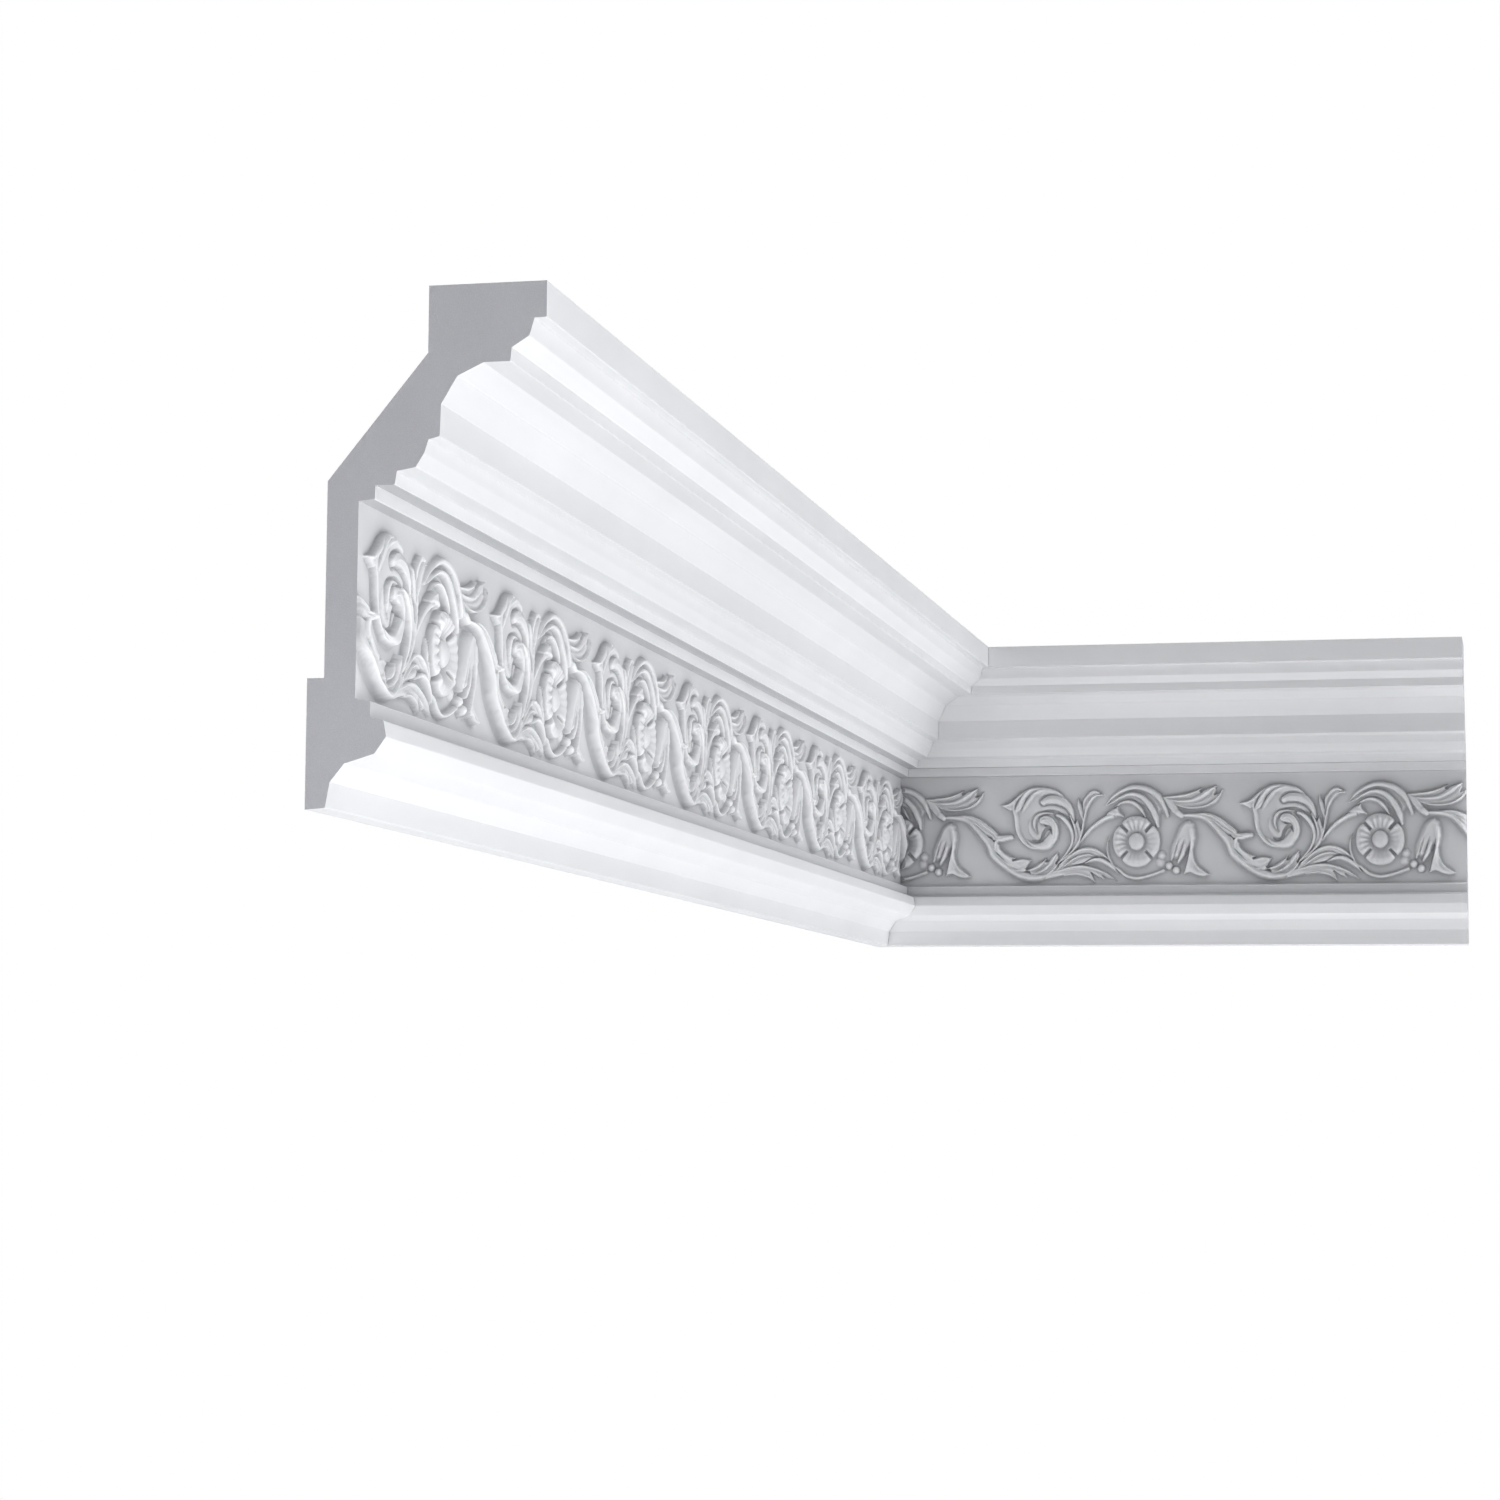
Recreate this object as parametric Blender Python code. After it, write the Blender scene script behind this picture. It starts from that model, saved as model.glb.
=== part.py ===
"""Cornice moulding with a carved frieze: two cast lengths mitred round the inside corner of a room.

Each length is drawn in its own run frame: X along the wall, -Y out from the wall, Z up from the lower edge.
The left length is then turned a quarter turn, so that in the room +X points out from its wall, +Y runs
along that wall to the corner and +Z is up.
"""
import math

import bmesh
import bpy
from mathutils import Matrix, Vector

# Driving dimensions in millimetres
MM = 0.001
HEIGHT = 177.0
PROJECTION = 82.1
LEFT_LENGTH = 1049.0
BACK_LENGTH = 362.0
WALL_PAD_HEIGHT = 44.3
WALL_RELIEF = 6.0
CEILING_PAD_START = 40.8
BEVEL_BACK_LOW = 111.3
BEVEL_BACK_HIGH = 154.0
FRIEZE_DEPTH = 17.1
FRIEZE_LOW = 37.1
FRIEZE_HIGH = 104.3
MITRE_GAP = 0.3

# The frieze repeats at this pitch, from a leaf tip on each length
REPEAT = 147.0
LEFT_FIRST_TIP = 4.7 - LEFT_LENGTH
BACK_FIRST_TIP = 79.4
OVERRUN = 40.0
BURIED = 1.2
BURIED_STEP = 0.0007
CUTTER = 500.0
CARVED = "carved"
CARVING_SHARE = 0.8
WELD_REACH = 0.00001

# Between its petals the rosette's rim draws in and dips by these shares
RIM_DRAWN_IN = 0.12
RIM_DIP = 0.6
BERRY_RISE = 0.4

# White primer: its colour and how rough it is
PRIMER_WHITE = (0.86, 0.86, 0.85, 1.0)
PRIMER_ROUGHNESS = 0.55

# Origin: middle of the left length's wall pad
ORIGIN = Vector((0.0, LEFT_LENGTH / 2, -WALL_PAD_HEIGHT / 2)) * MM


def clear_scene():
    """Remove every object, so that the script gives the same result each time."""
    for thing in list(bpy.data.objects):
        bpy.data.objects.remove(thing, do_unlink=True)


def bow(start, end, rise, steps):
    """Points of an arc from start to end that bulges to the left of its travel by rise."""
    first = Vector(start)
    along = Vector(end) - first
    left = Vector((-along.y, along.x)).normalized()
    points = []
    for index in range(steps + 1):
        t = index / steps
        points.append(first + along * t + left * (4 * rise * t * (1 - t)))
    return points


def spiral(centre, radii, turn, steps):
    """Points of a spiral whose radius changes evenly while it turns, angles in degrees."""
    points = []
    for index in range(steps + 1):
        t = index / steps
        radius = radii[0] + (radii[1] - radii[0]) * t
        angle = math.radians(turn[0] + (turn[1] - turn[0]) * t)
        points.append(Vector(centre) + radius * Vector((math.cos(angle), math.sin(angle))))
    return points


def flowing(knots, steps):
    """Points of a smooth curve through a few knots, with steps to each span."""
    rows = [Vector(knot) for knot in knots]
    rows = [2 * rows[0] - rows[1]] + rows + [2 * rows[-1] - rows[-2]]
    points = []
    for before, first, second, after in zip(rows, rows[1:], rows[2:], rows[3:]):
        for index in range(steps):
            t = index / steps
            points.append(0.5 * (2 * first + (second - before) * t
                                 + (2 * before - 5 * first + 4 * second - after) * t * t
                                 + (3 * first - before - 3 * second + after) * t ** 3))
    points.append(rows[-2])
    return points


def section_outline():
    """Outline of the moulding's section: depth from the wall and height over the lower edge.

    The section is cut in short flats, also where it turns, so its hollows and rounds have two or three each.
    """
    lip = [(0.0, 0.0), (7.1, 0.5)]
    hollow = [(8.6, 9.1), (13.6, 15.3), (24.2, 18.5)]
    nose = [(28.2, 24.2), (27.2, 29.6), (22.5, 31.0), (22.4, 36.2)]
    frieze = [(FRIEZE_DEPTH, FRIEZE_LOW), (FRIEZE_DEPTH, FRIEZE_HIGH)]
    fillets = [(22.8, 104.6), (23.0, 109.4), (29.7, 109.3), (30.4, 114.0)]
    small_round = [(37.0, 115.1), (40.0, 119.9), (41.4, 124.4)]
    cove = [(45.3, 125.4), (45.6, 136.3), (51.2, 145.7), (60.3, 150.0), (69.6, 150.0)]
    upper_round = [(70.1, 154.7), (76.2, 158.5), (77.9, 164.5)]
    top = [(PROJECTION, 164.6), (PROJECTION, HEIGHT), (CEILING_PAD_START, HEIGHT)]
    bevel = [(CEILING_PAD_START, BEVEL_BACK_HIGH), (WALL_RELIEF, BEVEL_BACK_LOW)]
    back = bevel + [(WALL_RELIEF, WALL_PAD_HEIGHT), (0.0, WALL_PAD_HEIGHT)]
    outline = lip + hollow + nose + frieze + fillets + small_round + cove + upper_round + top + back
    return [Vector(point) for point in outline]


def mesh_from_curve(name, thing):
    """Make a mesh object of a curve object, with its caps welded on, and remove the curve."""
    bpy.context.view_layer.update()
    evaluated = thing.evaluated_get(bpy.context.evaluated_depsgraph_get())
    mesh = bpy.data.meshes.new_from_object(evaluated)
    form = bmesh.new()
    form.from_mesh(mesh)
    bmesh.ops.remove_doubles(form, verts=form.verts, dist=WELD_REACH)
    form.to_mesh(mesh)
    form.free()
    solid = bpy.data.objects.new(name, mesh)
    solid.matrix_world = thing.matrix_world
    bpy.data.objects.remove(thing, do_unlink=True)
    return solid


def plain_length(name, start, end):
    """The section drawn out along the run, without its carving."""
    shape = bpy.data.curves.new(name + "_outline", "CURVE")
    shape.dimensions = "2D"
    shape.fill_mode = "BOTH"
    shape.extrude = (end - start) / 2 * MM
    spline = shape.splines.new("POLY")
    outline = section_outline()
    spline.points.add(len(outline) - 1)
    for point, place in zip(spline.points, outline):
        point.co = (place.x * MM, place.y * MM, 0.0, 1.0)
    spline.use_cyclic_u = True
    thing = bpy.data.objects.new(name + "_outline", shape)
    bpy.context.scene.collection.objects.link(thing)
    axes = Matrix(((0, 0, -1), (-1, 0, 0), (0, 1, 0))).to_4x4()
    thing.matrix_world = Matrix.Translation(Vector((start + end, 0.0, 0.0)) * MM / 2) @ axes
    solid = mesh_from_curve(name, thing)
    solid.data.transform(solid.matrix_world)
    solid.matrix_world = Matrix.Identity(4)
    return solid


def on_frieze(along, height, rise):
    """Place in the run frame of a point of the carving that stands rise over the frieze."""
    return Vector((along, -FRIEZE_DEPTH - rise, height)) * MM


def ribbon(form, path, widths, rises, crest=0.0):
    """Loft a ridge along a path: widths and rises at its start, middle and end, crest off its centre line.

    Each ridge is buried a little deeper than the one before, so that no two backs lie in one plane.
    """
    buried = BURIED + BURIED_STEP * len(form.verts)
    last = len(path) - 1
    rows = []
    for index, point in enumerate(path):
        t = index / last
        blend = (2 * (t - 0.5) * (t - 1), 4 * t * (1 - t), 2 * t * (t - 0.5))
        width = sum(a * b for a, b in zip(widths, blend)) / 2
        rise = sum(a * b for a, b in zip(rises, blend))
        along = (path[min(index + 1, last)] - path[max(index - 1, 0)]).normalized()
        left = Vector((-along.y, along.x))
        foot = width * (1 + buried / rise)
        row = []
        for offset, level in ((foot, -buried), (crest * width, rise), (-foot, -buried)):
            place = point + left * offset
            row.append(form.verts.new(on_frieze(place.x, place.y, level)))
        rows.append(row)
    for row, following in zip(rows, rows[1:]):
        for a in range(3):
            b = (a + 1) % 3
            form.faces.new((row[a], row[b], following[b], following[a]))
    form.faces.new(rows[0][::-1])
    form.faces.new(rows[-1])


def lobes_from(form, s, lobes):
    """One ridge for each lobe: its two ends, the rise of its bow, its steps, its widths and its rises."""
    for start, end, bulge, steps, widths, rises in lobes:
        path = bow((s + start[0], start[1]), (s + end[0], end[1]), bulge, steps)
        ribbon(form, path, widths, rises)


def volute(form, s):
    """The scroll that opens each repeat, with the leaves that curl over it."""
    coil = spiral((s + 27.0, 73.0), (17.6, 5.0), (150, 470), 8)
    ribbon(form, coil, (4.5, 5.5, 4.5), (2.6, 2.6, 3.2), -0.3)
    crown = [(48.5, 77.0), (45.5, 86.5), (39.0, 92.8), (28.0, 95.3), (17.0, 93.0), (9.0, 88.8), (-0.5, 86.7)]
    rim = [Vector((s + along, height)) for along, height in crown]
    ribbon(form, rim, (2.5, 6.0, 1.2), (2.0, 3.2, 1.2), -0.3)
    ribbon(form, bow((s + 47, 77), (s + 27, 88), -7.5, 3), (3.0, 5.0, 4.0), (2.2, 3.4, 3.0), -0.2)
    ribbon(form, bow((s + 46, 60), (s + 34.5, 80), -6.0, 2), (3.0, 4.0, 3.0), (2.4, 3.0, 3.0), -0.2)


def upright_leaf(form, s):
    """The leaf that stands up from the fork of the stem, with its side lobe."""
    leaf = flowing([(s + 37, 49), (s + 47.5, 60), (s + 51.8, 74), (s + 55.5, 87), (s + 62.5, 93.5)], 1)
    ribbon(form, leaf, (4.0, 4.5, 2.0), (2.6, 3.2, 2.6), 0.1)
    ribbon(form, bow((s + 51, 77), (s + 48.7, 90), 0.5, 1), (2.0, 2.5, 1.0), (2.4, 2.6, 1.4))


def branch(form, s):
    """The branch that leans to the rosette and ends in a small leaf."""
    ribbon(form, bow((s + 49, 61), (s + 68, 79), 3.0, 2), (3.0, 3.6, 4.0), (2.2, 2.6, 3.0), 0.2)
    ribbon(form, bow((s + 65, 78.5), (s + 76, 79.5), 0.8, 1), (4.0, 4.5, 2.0), (2.6, 3.0, 2.0))


def arched_leaves(form, s):
    """Three long lobes that arch over the rosette, one inside the other."""
    widths = (2.0, 4.0, 2.5)
    rises = (1.6, 3.0, 2.4)
    lobes_from(form, s, (((65, 87.5), (103.3, 79.5), 13.5, 4, widths, rises),
                         ((67, 86), (97.5, 72.5), 12.5, 4, widths, rises),
                         ((69.5, 85), (91, 79), 6.0, 2, widths, rises)))


def rosette(form, s):
    """A four petalled rosette: a turned dish whose rim dips and draws in between the petals."""
    centre = Vector((s + 84.5, 63.0))
    rings = ((4.6, 0.9), (13.2, 3.6), (15.0, -BURIED))
    sides = 16
    boss = form.verts.new(on_frieze(centre.x, centre.y, 2.6))
    rows = []
    for radius, rise in rings:
        row = []
        for side in range(sides):
            angle = 2 * math.pi * side / sides
            split = abs(math.sin(2 * angle)) ** 3
            reach = radius * (1 - RIM_DRAWN_IN * split * (radius > rings[0][0]))
            level = rise * (1 - RIM_DIP * split * (rise > rings[0][1]))
            place = centre + reach * Vector((math.cos(angle), math.sin(angle)))
            row.append(form.verts.new(on_frieze(place.x, place.y, level)))
        rows.append(row)
    for side in range(sides):
        after = (side + 1) % sides
        form.faces.new((boss, rows[0][side], rows[0][after]))
        for inner, outer in zip(rows, rows[1:]):
            form.faces.new((inner[side], outer[side], outer[after], inner[after]))
    form.faces.new(rows[-1])


def ring_and_berries(form, s):
    """The stem that cups the rosette from below, and the berries at its blunt end."""
    ribbon(form, spiral((s + 85.5, 60.3), (18.2, 21.3), (158, 316), 5), (1.4, 3.2, 2.6), (2.0, 2.8, 2.4))
    for along, height, radius in ((104.5, 48.0, 2.3), (108.5, 45.3, 2.3)):
        place = Matrix.Translation(on_frieze(s + along, height, BERRY_RISE))
        bmesh.ops.create_icosphere(form, subdivisions=1, radius=radius * MM, matrix=place)


def lower_leaves(form, s):
    """The leaves that spread from the fork of the stem along the foot of the frieze."""
    rises = (1.6, 2.4, 1.2)
    lobes_from(form, s, (((41, 50.5), (69, 50.5), 8.6, 3, (2.0, 4.6, 1.0), rises),
                         ((42, 47.2), (71.5, 40), 4.2, 3, (2.0, 5.0, 1.0), rises)))


def frond(form, s):
    """The fluted leaf that sweeps to the upper right, and the knuckle that it grows from."""
    rises = (2.0, 3.2, 3.0)
    lobes_from(form, s, (((101, 91), (132.5, 96.7), -2.8, 3, (2.0, 5.0, 1.6), rises),
                         ((109, 85.6), (136.8, 94.7), -4.6, 3, (2.0, 4.0, 1.4), rises),
                         ((102, 90), (112, 79.5), 1.0, 1, (4.0, 6.0, 4.0), (2.0, 3.0, 3.2))))


def main_stem(form, s):
    """The stem that swings down under the next scroll, and the lobes that curl off it."""
    upper = [(111, 80), (123, 79), (133, 74.5), (141, 66), (150, 55.5)]
    lower = [(161, 46.5), (173, 42.7), (183, 45.5), (190, 51)]
    stem = [Vector((s + along, height)) for along, height in upper + lower]
    ribbon(form, stem, (3.0, 8.5, 4.0), (2.6, 3.4, 2.6))
    rises = (2.6, 3.4, 3.0)
    lobes_from(form, s, (((133, 76), (155, 67), -2.2, 2, (3.0, 4.4, 2.4), rises),
                         ((145, 61.5), (166.5, 53), -2.0, 2, (3.0, 5.0, 2.4), rises),
                         ((169, 44), (181, 56.5), -1.4, 1, (4.0, 4.6, 3.0), rises)))


def bell_flower(form, s):
    """The drooping bell: three long petals under one dome, the right one flared at its foot."""
    rises = (2.0, 3.4, 2.4)
    lobes_from(form, s, (((113, 73), (105.8, 53.5), 1.6, 1, (4.0, 5.0, 2.4), rises),
                         ((116, 75.5), (110.8, 47.5), 1.0, 2, (5.0, 6.5, 3.0), rises),
                         ((117.5, 75), (119, 46), 0.6, 2, (6.0, 5.0, 6.0), rises),
                         ((115, 44.9), (128.5, 43.5), 1.4, 1, (2.0, 4.0, 1.4), rises)))


def ornament_features():
    """The functions that draw one repeat, in the order of their depth."""
    above = (volute, upright_leaf, branch, arched_leaves, rosette)
    below = (ring_and_berries, lower_leaves, frond, main_stem, bell_flower)
    return above + below


def carving(name, first_tip, low, high):
    """Every repeat of the frieze's ornament from low to high along the run, as closed ridges."""
    form = bmesh.new()
    tip = first_tip - REPEAT
    while tip + REPEAT < low:
        tip += REPEAT
    while tip < high:
        for feature in ornament_features():
            feature(form, tip)
        tip += REPEAT
    bmesh.ops.triangulate(form, faces=form.faces)
    bmesh.ops.recalc_face_normals(form, faces=form.faces)
    mesh = bpy.data.meshes.new(name)
    form.to_mesh(mesh)
    form.free()
    ornament = bpy.data.objects.new(name, mesh)
    group = ornament.vertex_groups.new(name=CARVED)
    group.add(range(len(mesh.vertices)), 1.0, "REPLACE")
    return ornament


def block(name, corner, turn):
    """A cube with one corner at a place beside the run, turned about that corner, to trim an end with."""
    form = bmesh.new()
    bmesh.ops.create_cube(form, size=CUTTER)
    move = Matrix.Translation(Vector((corner[0], corner[1], HEIGHT / 2)))
    about_corner = Matrix.Translation(Vector((CUTTER, CUTTER, 0)) / 2)
    turned = move @ Matrix.Rotation(math.radians(turn), 4, "Z") @ about_corner
    bmesh.ops.transform(form, matrix=Matrix.Scale(MM, 4) @ turned, verts=form.verts)
    mesh = bpy.data.meshes.new(name)
    form.to_mesh(mesh)
    form.free()
    return bpy.data.objects.new(name, mesh)


def square_block(name, start):
    """The block that trims an end square, from start along the run."""
    return block(name, (start, -CUTTER / 2), 0.0)


def mitre_block(name, side):
    """The block that trims the corner end at 45 degrees. Side is -1 for the left length, 1 for the back."""
    retreat = side * MITRE_GAP / math.sqrt(8)
    left_corner = (CUTTER / 4 + retreat, CUTTER / 4 - retreat)
    back_corner = (CUTTER / 2 + retreat, -CUTTER / 2 + retreat)
    corner = {-1: left_corner, 1: back_corner}
    turn = {-1: -135.0, 1: 135.0}
    return block(name, corner[side], turn[side])


def primed_material(name):
    """White primer on hard moulded foam."""
    material = bpy.data.materials.new(name)
    material.use_nodes = True
    shader = material.node_tree.nodes["Principled BSDF"]
    shader.inputs["Base Color"].default_value = PRIMER_WHITE
    shader.inputs["Roughness"].default_value = PRIMER_ROUGHNESS
    shader.inputs["Metallic"].default_value = 0.0
    return material


def boolean(solid, operation, other):
    """Join or cut one solid with another."""
    step = solid.modifiers.new(operation.lower() + "_" + other.name, "BOOLEAN")
    step.operation = operation
    step.object = other
    step.solver = "EXACT"
    step.use_self = operation == "UNION"


def length_of_cornice(name, start, end, first_tip, cutters, parts, tools):
    """One cast length: drawn section, carved frieze, ends trimmed by the given blocks."""
    solid = plain_length(name, start - OVERRUN, end + OVERRUN)
    ornament = carving(name + "_carving", first_tip, start - OVERRUN, end + OVERRUN)
    parts.objects.link(solid)
    for thing in [ornament] + cutters:
        tools.objects.link(thing)
        thing.hide_render = True
        thing.display_type = "WIRE"
    solid.vertex_groups.new(name=CARVED)
    boolean(solid, "UNION", ornament)
    for cutter in cutters:
        boolean(solid, "DIFFERENCE", cutter)
    lighter = solid.modifiers.new("lighter_carving", "DECIMATE")
    lighter.ratio = CARVING_SHARE
    lighter.vertex_group = CARVED
    solid.data.materials.append(primed_material(name + "_primer"))
    return [solid, ornament] + cutters


def main():
    clear_scene()
    parts = bpy.data.collections.new("cornice_moulding")
    tools = bpy.data.collections.new("cutters")
    bpy.context.scene.collection.children.link(parts)
    bpy.context.scene.collection.children.link(tools)

    # Left wall: cut square at the near end, mitred at the corner
    cutters = [square_block("near_end_cutter", -LEFT_LENGTH - CUTTER), mitre_block("left_mitre_cutter", -1)]
    solids = length_of_cornice("left_wall_length", -LEFT_LENGTH, 0.0, LEFT_FIRST_TIP, cutters, parts, tools)
    for thing in solids:
        thing.rotation_euler = (0.0, 0.0, math.pi / 2)
        thing.location = ORIGIN

    # Back wall: mitred at the corner, cut square at the far end
    cutters = [square_block("far_end_cutter", BACK_LENGTH), mitre_block("back_mitre_cutter", 1)]
    solids = length_of_cornice("back_wall_length", 0.0, BACK_LENGTH, BACK_FIRST_TIP, cutters, parts, tools)
    for thing in solids:
        thing.location = ORIGIN


main()
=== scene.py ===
# %% [markdown]
# # A cornice moulding with a carved frieze
#
# A cornice covers the joint between a wall and the ceiling. This one is cast in hard foam and primed
# white. Two lengths meet in a mitre, a joint cut at 45 degrees, in an inside corner of a room.
#
# Each length is one casting, so each is built here as one closed mesh: a section that is drawn along
# the wall, with a band of carving, the frieze, in its middle. The solids from the CAD model are the
# frame: they say where everything is, and the finer meshes made here take their places.

# %% Tools and the measured frame
import math

import bmesh
import bpy
import numpy as np
from mathutils import Matrix, Vector


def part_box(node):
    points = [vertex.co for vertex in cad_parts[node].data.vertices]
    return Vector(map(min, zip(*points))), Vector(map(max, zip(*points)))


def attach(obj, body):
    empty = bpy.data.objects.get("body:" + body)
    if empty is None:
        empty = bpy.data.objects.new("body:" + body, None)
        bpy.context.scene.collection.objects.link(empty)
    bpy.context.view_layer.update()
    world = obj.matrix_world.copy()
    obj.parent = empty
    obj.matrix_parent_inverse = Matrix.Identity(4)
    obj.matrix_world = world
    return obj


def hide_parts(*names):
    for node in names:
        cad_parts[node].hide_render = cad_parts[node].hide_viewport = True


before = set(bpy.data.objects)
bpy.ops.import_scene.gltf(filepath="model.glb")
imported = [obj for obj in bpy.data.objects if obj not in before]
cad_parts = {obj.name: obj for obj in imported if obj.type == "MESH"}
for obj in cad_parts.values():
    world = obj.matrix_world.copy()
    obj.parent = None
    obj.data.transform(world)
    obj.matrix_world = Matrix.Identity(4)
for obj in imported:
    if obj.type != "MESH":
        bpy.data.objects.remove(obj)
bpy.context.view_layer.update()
scene = bpy.context.scene

# %% [markdown]
# ## Where the lengths are
#
# The lengths are drawn in millimetres and turned to metres at the end. Each has its own run frame: X goes
# along the wall, -Y comes out of the wall and Z goes up from the lower edge. Both boxes come from the
# CAD model, so nothing has to be fitted by eye.

# %% Lengths, read from the solids
MM = 0.001
left_low, left_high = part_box("left_wall_length")
back_low, back_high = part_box("back_wall_length")
LEFT_RUN = (left_high.y - left_low.y) / MM
BACK_RUN = (back_high.x - left_low.x) / MM
CORNER = Vector((left_low.x, back_high.y, back_low.z))
print("left length", round(LEFT_RUN, 1), "mm, back length", round(BACK_RUN, 1), "mm")

# %% [markdown]
# ## The camera
#
# The photograph was taken from below the moulding's lower edge, about 2.2 m from the corner, with a long
# lens. The eye's place and its turns were fitted to corners and ends of the moulding. Three plain
# rotations are easier to read than a finished matrix: turn to the left, tilt up, then a slight roll.

# %% Camera
EYE = Vector((0.4026, -1.6337, -0.11815))
TURN_LEFT = math.radians(12.688)
TILT_UP = math.radians(5.712)
ROLL = math.radians(0.387)
LENS = 84.09
SENSOR = 36.0
NEAREST = 0.05

eye = bpy.data.objects.new("eye", bpy.data.cameras.new("eye"))
scene.collection.objects.link(eye)
eye.data.sensor_width = SENSOR
eye.data.lens = LENS
eye.data.clip_start = NEAREST
eye.matrix_world = (
    Matrix.Translation(EYE)
    @ Matrix.Rotation(TURN_LEFT, 4, "Z")
    @ Matrix.Rotation(math.pi / 2 + TILT_UP, 4, "X")
    @ Matrix.Rotation(ROLL, 4, "Z")
)
scene.camera = eye
print("eye to corner", round((CORNER - EYE).length, 3), "m")

# %% [markdown]
# ## The section
#
# Cut through the moulding and this outline shows: a hollow and a nose at the foot, the flat frieze, two
# fillets, a small round, the big cove, an upper round and a fascia. The curves are short flats, as the
# cut end shows them. Every point says what happens at it: an "arris" is an outer corner, which the
# casting leaves slightly rounded, and an "edge" is an inner corner and stays crisp.

# %% Outline of the section, in millimetres out of the wall and up
SECTION = (
    (0, 0, "edge"), (7.1, 0.5, "arris"), (8.6, 9.1, "edge"), (13.6, 15.3, "edge"),
    (24.2, 18.5, "arris"), (28.2, 24.2, "arris"), (27.2, 29.6, "arris"), (22.5, 31.0, "edge"),
    (22.4, 36.2, "arris"), (17.1, 37.1, "edge"), (17.1, 104.3, "edge"), (22.8, 104.6, "arris"),
    (23.0, 109.4, "edge"), (29.7, 109.3, "arris"), (30.4, 114.0, "edge"), (37.0, 115.1, "arris"),
    (40.0, 119.9, "arris"), (41.4, 124.4, "edge"), (45.3, 125.4, "arris"), (45.6, 136.3, "edge"),
    (51.2, 145.7, "edge"), (60.3, 150.0, "edge"), (69.6, 150.0, "arris"), (70.1, 154.7, "edge"),
    (76.2, 158.5, "arris"), (77.9, 164.5, "edge"), (82.1, 164.6, "arris"), (82.1, 177, "edge"),
    (40.8, 177, "edge"), (40.8, 154, "edge"), (6, 111.3, "edge"), (6, 44.3, "edge"),
    (0, 44.3, "edge"),
)
BAND_LOW = 37.1
BAND_HIGH = 104.3
BAND_DEPTH = 17.1
ARRIS = 0.4
# the outline's last faces, at the top and the back, are bare foam
BACK_FACES = 6


def softened(section):
    """The outline with every arris turned into a small rounding of three points."""
    out = []
    for i, (depth, height, kind) in enumerate(section):
        here = np.array((depth, height), float)
        if kind != "arris":
            out.append((here, kind))
            continue
        before = np.array(section[i - 1][:2], float) - here
        after = np.array(section[(i + 1) % len(section)][:2], float) - here
        start = here + before / np.hypot(*before) * ARRIS
        end = here + after / np.hypot(*after) * ARRIS
        out.append((start, "flow"))
        out.append(((start + 2 * here + end) / 4, "flow"))
        out.append((end, "flow"))
    return out


outline = softened(SECTION)
print("points on the outline", len(outline))

# %% [markdown]
# ## The carving
#
# The frieze repeats one motif every 147 mm. A carver, or the maker of the mould, would cut it from a flat
# panel, so it is kept here as the panel is: a sheet of heights above the band, on a fine grid. Strokes
# are laid on it, and where two overlap the higher one shows. The motif runs over the joint between
# two repeats, so the panel starts earlier and ends later than one repeat, and is folded afterwards.
# S is how far along the wall each point of the sheet lies, and Z how high.

# %% The panel
REPEAT = 147.0
CELL = 0.35
COLUMNS = round(REPEAT / CELL)
BAND_ROWS = 193
PANEL_START = -30.1
PANEL_END = 210.0

along = PANEL_START + np.arange(round((PANEL_END - PANEL_START) / CELL)) * CELL
upward = np.linspace(BAND_LOW, BAND_HIGH, BAND_ROWS)
S, Z = np.meshgrid(along, upward)
panel = np.zeros_like(S)
print("panel", panel.shape)

# %% [markdown]
# ### Strokes
#
# A stroke follows a smooth path through a few points, its knots, as a gouge or a bead of clay does. For
# every point of the panel near the path it is worked out how far along it and how far off it is.

# %% Paths
TINY = 1e-6


def ease(x):
    """Goes from 0 to 1 as x does, slowly at both ends."""
    x = np.clip(x, 0, 1)
    return x * x * (3 - 2 * x)


def flowing(knots, count=90):
    """A smooth path through the knots."""
    rows = np.array(knots, float)
    rows = np.vstack([2 * rows[0] - rows[1], rows, 2 * rows[-1] - rows[-2]])
    spans = len(rows) - 3
    out = []
    for t in np.linspace(0, spans - TINY, count):
        i = int(t)
        u = t - i
        a, b, c, d = rows[i : i + 4]
        curve = 2 * b + (c - a) * u + (2 * a - 5 * b + 4 * c - d) * u**2
        out.append((curve + (3 * b - a - 3 * c + d) * u**3) / 2)
    return np.array(out)


def lay(height):
    """Keeps the higher of the panel and the new shape."""
    np.maximum(panel, height, out=panel)


def beside(path, reach):
    """For the panel near a path: where, how far along it (0 to 1), and how far off, left of it positive."""
    low, high = path.min(0) - reach, path.max(0) + reach
    near = (S >= low[0]) & (S <= high[0]) & (Z >= low[1]) & (Z <= high[1])
    points = np.stack([S[near], Z[near]], 1)
    travelled = np.concatenate([[0], np.cumsum(np.hypot(*(path[1:] - path[:-1]).T))])
    heading = np.gradient(path, axis=0)
    heading /= np.hypot(*heading.T)[:, None]
    i = ((points[:, None] - path[None]) ** 2).sum(-1).argmin(1)
    offset = points - path[i]
    ahead = (offset * heading[i]).sum(1)
    side = heading[i, 0] * offset[:, 1] - heading[i, 1] * offset[:, 0]
    last = len(path) - 1
    past = np.where(i == 0, np.minimum(ahead, 0), np.where(i == last, np.maximum(ahead, 0), 0))
    t = np.clip((travelled[i] + ahead) / travelled[-1], 0, 1)
    return near, t, np.where(side < 0, -1, 1) * np.hypot(side, past)


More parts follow.
